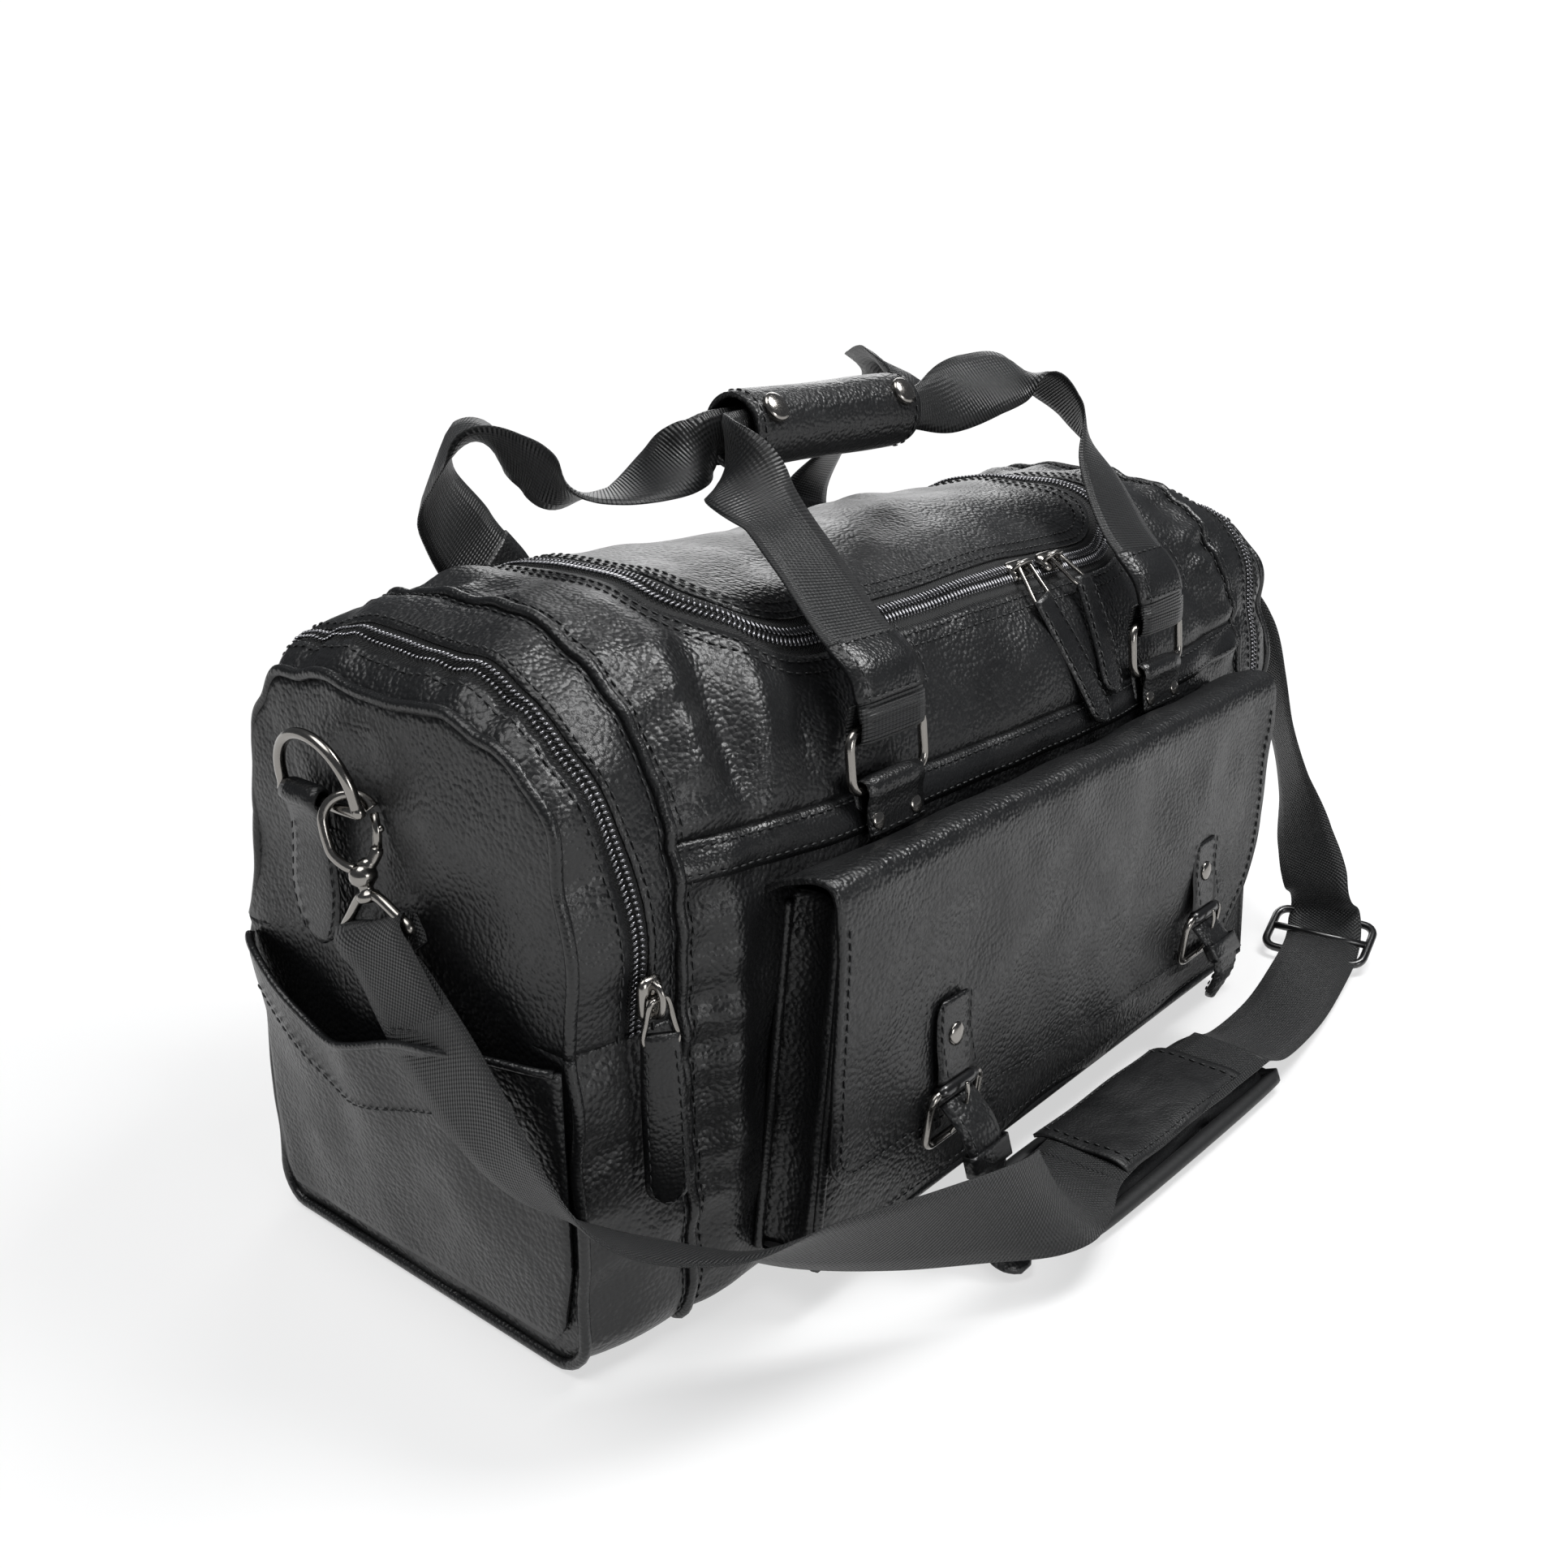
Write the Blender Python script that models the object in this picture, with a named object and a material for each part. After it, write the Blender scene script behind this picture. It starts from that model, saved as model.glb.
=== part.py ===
"""Leather travel holdall: panels, zips, grab handles, buckled front pocket, end pockets and shoulder strap."""

import math

import bmesh
import bpy
from mathutils import Vector

for old in list(bpy.data.objects):
    bpy.data.objects.remove(old, do_unlink=True)

# Metres. X runs along the bag, -Y is the pocket side, +Z is up and the bag rests on Z = 0.
LENGTH = 0.502
END_DEPTH = 0.196        # front to back at the end panels
BULGE = 0.014            # extra half depth in the middle of the bag
HEIGHT = 0.254
SIDE_HEIGHT = 0.130      # the walls are upright up to here
CROWN_POWER = 2.15       # 2 is an ellipse, higher is squarer
END_SQUARE = 0.85        # added to the power at the ends, which are boxier
END_DROP = 0.020         # how much lower the crown is at the ends
CORNER = 0.020           # bottom edge radius
LEATHER = 0.0020
GAP = 0.0004             # clearance between neighbouring pieces

BODY_X = 0.205           # where the end pockets are sewn on
FOLD_Z = 0.124           # top of the slip pockets and foot of the end zips
BAND_Z = 0.178           # seam between the wall panels and the yoke
LID_X = 0.150            # half length of the zip loop
LID_FRONT_Y = 0.071
LID_BACK_Y = 0.066
LID_RADIUS = 0.046
ZIP_HALF = 0.009         # tape and half the teeth, each side of the main zip
END_ZIP_X = 0.2345       # middle of the end zips, over the top
END_ZIP_LEAN = 0.010     # how far they lean in towards the foot
END_ZIP_HALF = 0.0055

HANDLE_X = 0.103         # legs of the grab handles
WEBBING = 0.038
WEB_THICK = 0.0016
WRAP_X = (-0.067, 0.043)
GRIP = (0.0, 0.040)      # Y, and height over the crown, of the middle of the grip
RING_WIRE = 0.0018
RING_W = 0.044
RING_H = 0.022

POCKET_X = 0.168
POCKET_Z = (0.020, 0.156)
POCKET_Y = 0.133
FLAP_X = 0.170
FLAP_Z = (0.052, 0.167)
FLAP_Y = 0.136
FLAP_HINGE = (-0.1348, 0.1655)
CLOSURE_X = 0.103
CLOSURE_W = 0.024
BAR_Z = 0.069

COLORS = {
    "leather": ((0.012, 0.012, 0.013, 1), 0.0, 0.42),
    "webbing": ((0.014, 0.014, 0.015, 1), 0.0, 0.75),
    "lining": ((0.02, 0.02, 0.02, 1), 0.0, 0.9),
    "teeth": ((0.25, 0.25, 0.26, 1), 1.0, 0.3),
    "gunmetal": ((0.16, 0.15, 0.145, 1), 1.0, 0.25),
    "black_metal": ((0.02, 0.02, 0.02, 1), 1.0, 0.4),
}

scene = bpy.context.scene
bag = bpy.data.collections.new("holdall")
cutters = bpy.data.collections.new("cutters")
cutters.hide_render = True
scene.collection.children.link(bag)
scene.collection.children.link(cutters)


def half_depth(x):
    return END_DEPTH / 2 + BULGE * (1 - (2 * x / LENGTH) ** 2)


def crown(x):
    return HEIGHT - END_DROP * (2 * x / LENGTH) ** 8


def arch(x, s):
    """Outline of the bag across X: s 0-1 bottom edge, 1-2 wall, 2-3 front half of the crown, mirrored to 6."""
    side = -1 if s <= 3 else 1
    s = min(s, 6 - s)
    depth, top = half_depth(x), crown(x)
    if s < 1:
        a = s * math.pi / 2
        y, z = depth - CORNER + CORNER * math.sin(a), CORNER - CORNER * math.cos(a)
    elif s < 2:
        y, z = depth, CORNER + (s - 1) * (SIDE_HEIGHT - CORNER)
    else:
        a = (s - 2) * math.pi / 2
        power = 2 / (CROWN_POWER + END_SQUARE * (2 * x / LENGTH) ** 4)
        y = depth * max(math.cos(a), 0) ** power
        z = SIDE_HEIGHT + (top - SIDE_HEIGHT) * math.sin(a) ** power
    return side * y, z


def arc_table():
    steps = [i * 0.005 for i in range(1201)]
    points = [Vector(arch(0, s)) for s in steps]
    run = [0.0]
    for before, after in zip(points, points[1:]):
        run.append(run[-1] + (after - before).length)
    return steps, points, run


STEPS, OUTLINE, RUN = arc_table()
TOTAL = RUN[-1]


def s_at(a):
    a = min(max(a, 0.0), TOTAL)
    low, high = 0, len(RUN) - 1
    while high - low > 1:
        mid = (low + high) // 2
        low, high = (mid, high) if RUN[mid] <= a else (low, mid)
    part = (a - RUN[low]) / (RUN[high] - RUN[low])
    return STEPS[low] + part * (STEPS[high] - STEPS[low])


def run_at_height(z):
    """Arc length from the front bottom edge up to height z, at mid length."""
    for point, run in zip(OUTLINE, RUN):
        if point.y >= z:
            return run
    return TOTAL / 2


def run_at_depth(y):
    for point, run in zip(OUTLINE, RUN):
        if point.y > SIDE_HEIGHT and point.x >= y:
            return run
    return TOTAL / 2


def skin(x, a, inset=0.0):
    """A point on the outer surface, a metres round the outline, moved inwards by inset."""
    s = s_at(a)
    y, z = arch(x, s)
    y0, z0 = arch(x, max(s - 0.01, 0))
    y1, z1 = arch(x, min(s + 0.01, 6))
    along = Vector((y1 - y0, z1 - z0)).normalized()
    return Vector((x, y + along.y * inset, z - along.x * inset))


A_FOLD = run_at_height(FOLD_Z)
A_BAND = run_at_height(BAND_Z)
A_FRONT = run_at_depth(-LID_FRONT_Y)
A_BACK = run_at_depth(LID_BACK_Y)


def end_zip_x(a):
    """Middle of the end zip, a metres round the outline."""
    t = min(max((skin(0, a).z - 0.150) / 0.075, 0), 1)
    return END_ZIP_X - END_ZIP_LEAN * (1 - t * t * (3 - 2 * t))


def material(name):
    if name in bpy.data.materials:
        return bpy.data.materials[name]
    color, metallic, roughness = COLORS[name]
    made = bpy.data.materials.new(name)
    made.use_nodes = True
    shader = made.node_tree.nodes["Principled BSDF"]
    shader.inputs["Base Color"].default_value = color
    shader.inputs["Metallic"].default_value = metallic
    shader.inputs["Roughness"].default_value = roughness
    made.diffuse_color = color
    return made


def add(name, points, faces, kind, origin=None, hidden=False):
    """A mesh object from points and faces, normals facing out, its origin moved to the given point."""
    mesh = bpy.data.meshes.new(name)
    build = bmesh.new()
    verts = [build.verts.new(p) for p in points]
    for face in faces:
        build.faces.new([verts[i] for i in face])
    bmesh.ops.recalc_face_normals(build, faces=build.faces)
    if build.calc_volume(signed=True) < 0:
        bmesh.ops.reverse_faces(build, faces=build.faces)
    if origin is not None:
        bmesh.ops.translate(build, verts=build.verts, vec=-Vector(origin))
    build.to_mesh(mesh)
    build.free()
    mesh.materials.append(material(kind))
    made = bpy.data.objects.new(name, mesh)
    if origin is not None:
        made.location = origin
    (cutters if hidden else bag).objects.link(made)
    if hidden:
        made.display_type = "WIRE"
        made.hide_render = True
    return made


def combine(target, other, how):
    """Joins or cuts target with other at once and drops other."""
    bpy.context.view_layer.update()
    step = target.modifiers.new(how, "BOOLEAN")
    step.operation, step.solver, step.object = how, "EXACT", other
    bpy.context.view_layer.update()
    seen = target.evaluated_get(bpy.context.evaluated_depsgraph_get())
    result = bpy.data.meshes.new_from_object(seen)
    target.modifiers.clear()
    target.data = result
    bpy.data.objects.remove(other, do_unlink=True)
    return target


def grid_faces(rows, cols, start=0, wrap=False):
    faces = []
    for i in range(rows - 1):
        for j in range(cols if wrap else cols - 1):
            k = (j + 1) % cols
            faces.append((start + i * cols + j, start + i * cols + k,
                          start + (i + 1) * cols + k, start + (i + 1) * cols + j))
    return faces


def sheet(name, rows, cols, at, thick, kind, wrap=False, **more):
    """A panel of even thickness: at(i, j, inset) gives its points; wrap closes the columns into a ring."""
    outer = [at(i, j, 0.0) for i in range(rows) for j in range(cols)]
    inner = [at(i, j, thick) for i in range(rows) for j in range(cols)]
    count = rows * cols
    faces = grid_faces(rows, cols, 0, wrap) + [f[::-1] for f in grid_faces(rows, cols, count, wrap)]
    for j in range(cols if wrap else cols - 1):
        k = (j + 1) % cols
        faces.append((k, j, count + j, count + k))
        last = (rows - 1) * cols
        faces.append((last + j, last + k, count + last + k, count + last + j))
    if not wrap:
        for i in range(rows - 1):
            faces.append((i * cols, (i + 1) * cols, count + (i + 1) * cols, count + i * cols))
            a, b = i * cols + cols - 1, (i + 1) * cols + cols - 1
            faces.append((b, a, count + a, count + b))
    return add(name, outer + inner, faces, kind, **more)


def loft(name, rings, kind, strips=False, **more):
    """A solid through closed rings of equal point counts, capped at both ends. Rings that mirror front to
    back but don't lie in a plane are capped in strips."""
    cols = len(rings[0])
    points = [p for ring in rings for p in ring]
    faces = grid_faces(len(rings), cols, 0, True)
    for start in (0, len(points) - cols):
        low, high = start, start + cols - 1
        if not strips:
            faces.append(tuple(range(low, high + 1)) if start else tuple(range(high, low - 1, -1)))
        while strips and high - low > 1:
            cap = (low, low + 1, high - 1, high)[:4 if high - low > 2 else 2] + ((high,) if high - low == 2 else ())
            faces.append(cap if start else cap[::-1])
            low, high = low + 1, high - 1
    return add(name, points, faces, kind, **more)


def block(name, low, high, kind, **more):
    ring = [(0, 0), (1, 0), (1, 1), (0, 1)]
    rings = [[Vector((low[0] if a == 0 else high[0], low[1] if b == 0 else high[1], z)) for a, b in ring]
             for z in (low[2], high[2])]
    return loft(name, rings, kind, **more)


def spline(points, steps):
    """Smooth points through the given ones."""
    pts = [Vector(p) for p in points]
    pts = [2 * pts[0] - pts[1]] + pts + [2 * pts[-1] - pts[-2]]
    out = []
    for i in range(1, len(pts) - 2):
        a, b, c, d = pts[i - 1:i + 3]
        for k in range(steps):
            t = k / steps
            out.append(0.5 * (2 * b + (c - a) * t + (2 * a - 5 * b + 4 * c - d) * t * t
                              + (3 * b - a - 3 * c + d) * t ** 3))
    return out + [pts[-2]]


def tangents(path, closed=False):
    count = len(path)
    found = []
    for i in range(count):
        before = path[(i - 1) % count] if closed else path[max(i - 1, 0)]
        after = path[(i + 1) % count] if closed else path[min(i + 1, count - 1)]
        found.append((after - before).normalized())
    return found


def wire(name, path, radius, kind, closed=False, sides=8, hint=(0, 0, 1), **more):
    """Round wire along a path."""
    path = [Vector(p) for p in path]
    rings = []
    side = None
    for point, along in zip(path, tangents(path, closed)):
        side = (Vector(hint) if side is None else side)
        side = (side - along * side.dot(along)).normalized()
        up = along.cross(side)
        rings.append([point + radius * (math.cos(2 * math.pi * k / sides) * side
                                        + math.sin(2 * math.pi * k / sides) * up) for k in range(sides)])
    if not closed:
        return loft(name, rings, kind, **more)
    points = [p for ring in rings for p in ring]
    faces = grid_faces(len(rings), sides, 0, True)
    last = (len(rings) - 1) * sides
    faces += [(last + k, last + (k + 1) % sides, (k + 1) % sides, k) for k in range(sides)]
    return add(name, points, faces, kind, **more)


def ribbon(name, path, acrosses, widths, thicks, kind, **more):
    """Flat webbing along a path; acrosses are its width directions."""
    rings = []
    for point, along, across, width, thick in zip(path, tangents(path), acrosses, widths, thicks):
        across = (across - along * across.dot(along)).normalized() * width / 2
        face = along.cross(across).normalized() * thick / 2
        rings.append([point - across - face, point + across - face, point + across + face, point - across + face])
    return loft(name, rings, kind, **more)


def rounded_loop(w, h, r, steps=3):
    """Points of a rounded rectangle w by h about the origin, as pairs."""
    out = []
    for cx, cy, start in ((w / 2 - r, h / 2 - r, 0), (r - w / 2, h / 2 - r, 90),
                          (r - w / 2, r - h / 2, 180), (w / 2 - r, r - h / 2, 270)):
        for k in range(steps + 1):
            a = math.radians(start + 90 * k / steps)
            out.append((cx + r * math.cos(a), cy + r * math.sin(a)))
    return out


def mirror_x(points, side):
    return [Vector((p[0] * side, p[1], p[2])) for p in points]


def span(low, high, count):
    return [low + (high - low) * i / (count - 1) for i in range(count)]


# ---- walls -------------------------------------------------------------------------------------

xs = span(-BODY_X, BODY_X, 11)


def wall(name, low, high, count):
    rows = span(low, high, count)
    return sheet(name, count, 11, lambda i, j, d: skin(xs[j], rows[i], d), LEATHER, "leather")


def bottom_point(i, j, d):
    across = span(-1, 1, 5)[i]
    return Vector((xs[j], across * (half_depth(xs[j]) - CORNER - GAP), d))


sheet("bottom_panel", 5, 11, bottom_point, 0.003, "leather")
wall("front_panel", 0.0, A_BAND - GAP, 9)
wall("back_panel", TOTAL - A_BAND + GAP, TOTAL, 9)

# ---- main zip, lid and yoke --------------------------------------------------------------------


def zip_loop(offset):
    """The U of the main zip in (x, arc) space, from the hinge round the front and back to the hinge."""
    half, radius = LID_X + offset, LID_RADIUS + offset
    front = A_FRONT - offset
    pts = [(-half, A_BACK), (-half, (A_BACK + front + radius) / 2)]
    for k in range(6):
        a = math.radians(90 * k / 5)
        pts.append((-half + radius - radius * math.cos(a), front + radius - radius * math.sin(a)))
    pts += [(x, front) for x in span(-half + radius, half - radius, 6)[1:-1]]
    for k in range(6):
        a = math.radians(90 - 90 * k / 5)
        pts.append((half - radius + radius * math.cos(a), front + radius - radius * math.sin(a)))
    return pts + [(half, (A_BACK + front + radius) / 2), (half, A_BACK)]


def zip_half(name, inner, outer):
    lines = [zip_loop(inner), zip_loop(outer)]
    return sheet(name, 2, len(lines[0]), lambda i, j, d: skin(*lines[i][j], d - 0.0006), 0.0024, "teeth")


zip_half("zip_tape_body", GAP / 2, ZIP_HALF - GAP)
zip_half("zip_tape_lid", -ZIP_HALF + GAP, -GAP / 2)

lid_edge = zip_loop(-ZIP_HALF)


def lid_point(i, j, d):
    """Rows run across the lid between matching points of the left and right sides of the zip loop."""
    (x0, a0), (x1, a1) = lid_edge[i], lid_edge[-1 - i]
    return skin(x0 + (x1 - x0) * j / 8, min(a0, A_BACK - GAP), d)


sheet("lid_panel", 8, 9, lid_point, LEATHER, "leather", origin=skin(0, A_BACK))

yoke_hole = zip_loop(ZIP_HALF)
yoke_hole = yoke_hole + [(x, A_BACK + GAP) for x in span(LID_X + ZIP_HALF, -LID_X - ZIP_HALF, 8)[1:-1]]


def yoke_rim(x, a):
    """The point of the yoke's outer edge opposite a point of its opening."""
    cx, ca = 0.0, (A_BAND + TOTAL - A_BAND) / 2
    dx, da = x - cx, a - ca
    wide, tall = BODY_X, (TOTAL - 2 * A_BAND) / 2 - GAP
    scale = 1 / max(abs(dx) / wide, abs(da) / tall)
    return cx + dx * scale, ca + da * scale


yoke_edge = [yoke_rim(x, a) for x, a in yoke_hole]
corners = [(sx * BODY_X, a) for sx in (-1, 1) for a in (A_BAND + GAP, TOTAL - A_BAND - GAP)]
for corner in corners:
    nearest = min(range(len(yoke_edge)), key=lambda k: (yoke_edge[k][0] - corner[0]) ** 2
                  + (yoke_edge[k][1] - corner[1]) ** 2)
    yoke_edge[nearest] = corner


def yoke_point(i, j, d):
    t = i / 5
    (x0, a0), (x1, a1) = yoke_hole[j], yoke_edge[j]
    return skin(x0 + (x1 - x0) * t, a0 + (a1 - a0) * t, d)


sheet("yoke", 6, len(yoke_hole), yoke_point, LEATHER, "leather", wrap=True)


def frame_at(x, a):
    """Point on the skin with its outward normal and the direction down the slope."""
    point = skin(x, a)
    normal = (point - skin(x, a, 0.001)).normalized()
    down = Vector((1, 0, 0)).cross(normal)
    down = down if down.z < 0 else -down
    return point, normal, down


def slider(name, point, normal, down, along):
    """Zip slider body with a lug for its pull; along is the way it runs."""
    across = down if abs(along.dot(down)) < 0.5 else Vector((1, 0, 0))
    base = point + normal * 0.0012
    rings = []
    for k, (lift, half_w, half_l) in enumerate(((0, .0050, .0075), (.0020, .0050, .0070), (.0032, .0036, .0055))):
        rings.append([base + normal * lift + across * half_w * sx + along * half_l * sy
                      for sx, sy in ((-1, -1), (1, -1), (1, 1), (-1, 1))])
    body = loft(name, rings, "gunmetal")
    lug_at = base + normal * 0.0045
    pin = Vector((1, 0, 0))
    lug_dir = pin.cross(normal)
    lug = loft(name + "_lug", [[lug_at + pin * off + normal * dn + lug_dir * dd
                                for dn, dd in ((-.0020, -.0030), (-.0020, .0030), (.0026, .0022), (.0026, -.0022))]
                               for off in (-.0014, .0014)], "gunmetal", hidden=True)
    combine(body, lug, "UNION")
    hole = wire(name + "_hole", [lug_at - pin * .004, lug_at + pin * .004], 0.0013, "gunmetal", hidden=True, sides=8)
    combine(body, hole, "DIFFERENCE")
    return body, lug_at


def pull(name, pin_at, foot, tip, normal, width):
    """Wire triangle through the slider lug, with a leather tab sewn on its foot that ends at tip."""
    x = Vector((1, 0, 0))
    length, down = (tip - foot).length, (tip - foot).normalized()
    normal = (normal - down * normal.dot(down)).normalized()
    side = normal.cross(down) if normal.cross(down).x > 0 else down.cross(normal)
    path = [pin_at - x * .0040, pin_at + x * .0040, foot + side * .0060, foot - side * .0060]
    path = [path[0].lerp(path[1], 0.12), path[0].lerp(path[1], 0.88), path[1].lerp(path[2], 0.15),
            path[1].lerp(path[2], 0.9), path[2].lerp(path[3], 0.1), path[2].lerp(path[3], 0.9),
            path[3].lerp(path[0], 0.1), path[3].lerp(path[0], 0.85)]
    ring = wire(name, path, 0.0009, "gunmetal", closed=True, sides=6, hint=normal, origin=pin_at)
    rings = []
    for run, half, thick in ((-.003, width * .30, .0032), (.002, width * .42, .0032),
                             (length * .8, width * .5, .0030), (length, width * .34, .0026)):
        mid = foot + down * run
        rings.append([mid + side * half * sx + normal * thick / 2 * sn
                      for sx, sn in ((-1, -1), (1, -1), (1, 1), (-1, 1))])
    tab = loft(name + "_tab", rings, "leather", hidden=True)
    return combine(ring, tab, "UNION")


# Each pull hangs from its slider over the slope of the yoke: foot and tip of its tab are measured from the pin.
for label, x, foot, tip in (("left", 0.036, (-.004, -.0150, -.0155), (.012, -.0385, -.0660)),
                            ("right", 0.062, (.007, -.0130, -.0130), (.0005, -.0345, -.0570))):
    at, normal, down = frame_at(x, A_FRONT)
    lift = normal * 0.0008
    body, pin_at = slider("zip_slider_" + label, at + lift, normal, down, Vector((1, 0, 0)))
    pull("zip_pull_" + label, pin_at, pin_at + Vector(foot), pin_at + Vector(tip), Vector((0, -1, .4)), 0.013)

# ---- end pockets -------------------------------------------------------------------------------


def profile(x, inset, part="whole", foot=0.0):
    """Closed outline at x: the upper part or the lower part, cut off at height foot, or the whole.
    A station on the zip line gives x as its offset from that line, in a tuple."""
    at = (lambda a: end_zip_x(a) + x[0]) if isinstance(x, tuple) else (lambda a: x)
    if part == "upper":
        pts = [skin(at(a), a, inset) for a in span(A_FOLD, TOTAL - A_FOLD, 21)]
        pts[0].z = pts[-1].z = foot
        return pts
    if part == "lower":
        front = [skin(x, a, inset) for a in (A_FOLD, A_FOLD * .6)] + [skin(x, a, inset) for a in span(
            CORNER * math.pi / 2, 0, 5)]
        back = [Vector((p.x, -p.y, p.z)) for p in front[::-1]]
        front[0].z = back[-1].z = foot
        return front + back
    pts = [skin(at(a), a, inset) for a in (0, .008, .016, .024, CORNER * math.pi / 2)]
    pts += [skin(at(a), a, inset) for a in span(A_FOLD, TOTAL - A_FOLD, 21)]
    return pts + [Vector((p.x, -p.y, p.z)) for p in pts[:5][::-1]]


def side_rings(side, stations, **which):
    return [mirror_x(profile(x, inset, **which), side) for x, inset in stations]


HALF = LENGTH / 2
for side, label in ((-1, "left"), (1, "right")):
    # Inner wall with the strip that runs out to the zip.
    tray = loft("end_wall_" + label, side_rings(side, ((BODY_X + GAP, 0), ((-END_ZIP_HALF,), 0))),
                "leather", strips=True)
    hollow = loft("hollow", side_rings(side, ((BODY_X + GAP + LEATHER, LEATHER), (HALF, LEATHER))),
                  "leather", strips=True, hidden=True)
    combine(tray, hollow, "DIFFERENCE")
    low_x, high_x = sorted((side * (BODY_X + GAP + LEATHER), side * HALF))
    notch = block("notch", (low_x, -0.2, -0.01), (high_x, 0.2, FOLD_Z + GAP), "leather", hidden=True)
    combine(tray, notch, "DIFFERENCE")

    # Lower half of the pocket: end panel, bottom and gussets in one cup.
    stations = ((BODY_X + 2 * GAP + LEATHER, 0), (HALF - .009, 0), (HALF - .003, .0025), (HALF, .009))
    cup = loft("end_base_" + label, side_rings(side, stations, part="lower", foot=FOLD_Z - GAP), "leather")
    stations = ((BODY_X, LEATHER), (HALF - .009, LEATHER), (HALF - .005, .0035), (HALF - LEATHER, .010))
    combine(cup, loft("hollow", side_rings(side, stations, part="lower", foot=FOLD_Z + .01), "leather", hidden=True),
            "DIFFERENCE")

    # Upper half: hinged at the fold, it carries the outer half of the zip.
    stations = (((GAP,), 0), (HALF - .009, 0), (HALF - .003, .0025), (HALF, .009))
    door = loft("end_door_" + label, side_rings(side, stations, part="upper", foot=FOLD_Z + GAP), "leather",
                strips=True, origin=(side * HALF, 0, FOLD_Z))
    stations = (((-.004,), LEATHER), (HALF - .009, LEATHER), (HALF - .005, .0035), (HALF - LEATHER, .010))
    combine(door, loft("hollow", side_rings(side, stations, part="upper", foot=FOLD_Z - .01), "leather",
                       strips=True, hidden=True), "DIFFERENCE")

    steps = span(A_FOLD, TOTAL - A_FOLD, 21)
    steps = [A_FOLD + GAP] + steps[1:-1] + [TOTAL - A_FOLD - GAP]
    edges = (GAP - END_ZIP_HALF, 0)
    sheet("end_zip_" + label, 21, 2,
          lambda i, j, d: skin(side * (end_zip_x(steps[i]) + edges[j]), steps[i], d - .0006), .0024, "teeth")

    # Slip pocket: a slack panel over the lower end panel.
    def slip_point(i, j, d):
        z_top = 0.119 - 0.016 * math.exp(-((j / 8 - 0.60) / 0.22) ** 2)
        z = 0.014 + (z_top - 0.014) * i / 5
        reach = half_depth(HALF) - 0.0105 - max(0, 0.016 - z) * 0.6
        across = -1 + 2 * j / 8
        slack = 0.0009 + 0.0085 * (i / 5) ** 1.4 * max(0, 1 - across * across) ** 0.7
        return Vector((side * (HALF + slack + LEATHER - d), across * reach, z))

    sheet("slip_pocket_" + label, 6, 9, slip_point, LEATHER - GAP, "leather")

    at = skin(side * end_zip_x(A_FOLD), A_FOLD + .011)
    body, pin_at = slider("end_slider_" + label, at + Vector((0, -.0008, 0)), Vector((0, -1, 0)),
                          Vector((0, 0, -1)), Vector((0, 0, 1)))
    hang = Vector((0, -.03, -1)).normalized()
    pull("end_pull_" + label, pin_at, pin_at + hang * .016, pin_at + hang * .074, Vector((0, -1, 0)), 0.013)

# ---- rings and grab handles --------------------------------------------------------------------


def tab_loop(name, pin_at, pin, reach, out, width, inner, rim, tail, **more):
    """Leather folded round a bar: a sleeve with a tail of the given length running along reach."""
    pin_at = Vector(pin_at)
    half = pin * width / 2
    sleeve = wire(name, [pin_at - half, pin_at + half], inner + rim, "leather", sides=12, hint=out, **more)
    flat = []
    for off in (-1, 1):
        flat.append([pin_at + half * off * 0.999 - out * down + reach * run
                     for down, run in ((inner + rim, 0), (inner * .2, 0), (inner * .2 + .0006, inner + rim),
                                       (inner + rim - LEATHER, tail), (inner + rim, tail))])
    combine(sleeve, loft(name + "_tail", flat, "leather", hidden=True), "UNION")
    bore = wire(name + "_bore", [pin_at - pin * width, pin_at + pin * width], inner, "leather", sides=12,
                hint=out, hidden=True)
    return combine(sleeve, bore, "DIFFERENCE")


RING_LIFT = 0.0052
BAR_CLEAR = 0.0004


def ring_frame(x, face):
    """Bar centre of a handle ring on the front (face -1) or back (face 1) band."""
    a = A_BAND + 0.001
    point, normal, down = frame_at(x, a)
    pin_at = point + normal * RING_LIFT
    return (Vector((p.x, p.y * -face, p.z)) for p in (pin_at, normal, down))


HANDLE_PIN = {}
for face, label in ((-1, "front"), (1, "back")):
    mid_pin, _, _ = ring_frame(HANDLE_X, face)
    HANDLE_PIN[label] = mid_pin
    for side, end in ((-1, "left"), (1, "right")):
        pin_at, normal, down = ring_frame(side * HANDLE_X, face)
        up = Vector((0, -face * 0.10, 1)).normalized()
        tab_loop(f"ring_tab_{label}_{end}", pin_at, Vector((1, 0, 0)), down, normal,
                 0.034, RING_WIRE + BAR_CLEAR, LEATHER - .0002, 0.0165)
        loop = [pin_at + Vector((px, 0, 0)) + up * (pz + RING_H / 2)
                for px, pz in rounded_loop(RING_W, RING_H, .005)]
        wire(f"handle_ring_{label}_{end}", loop, RING_WIRE, "gunmetal", closed=True, sides=8,
             hint=(0, 1, 0), origin=pin_at)

WEB_FOLD = RING_WIRE + WEB_THICK + 0.0006     # the webbing turns round the ring's top bar


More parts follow.
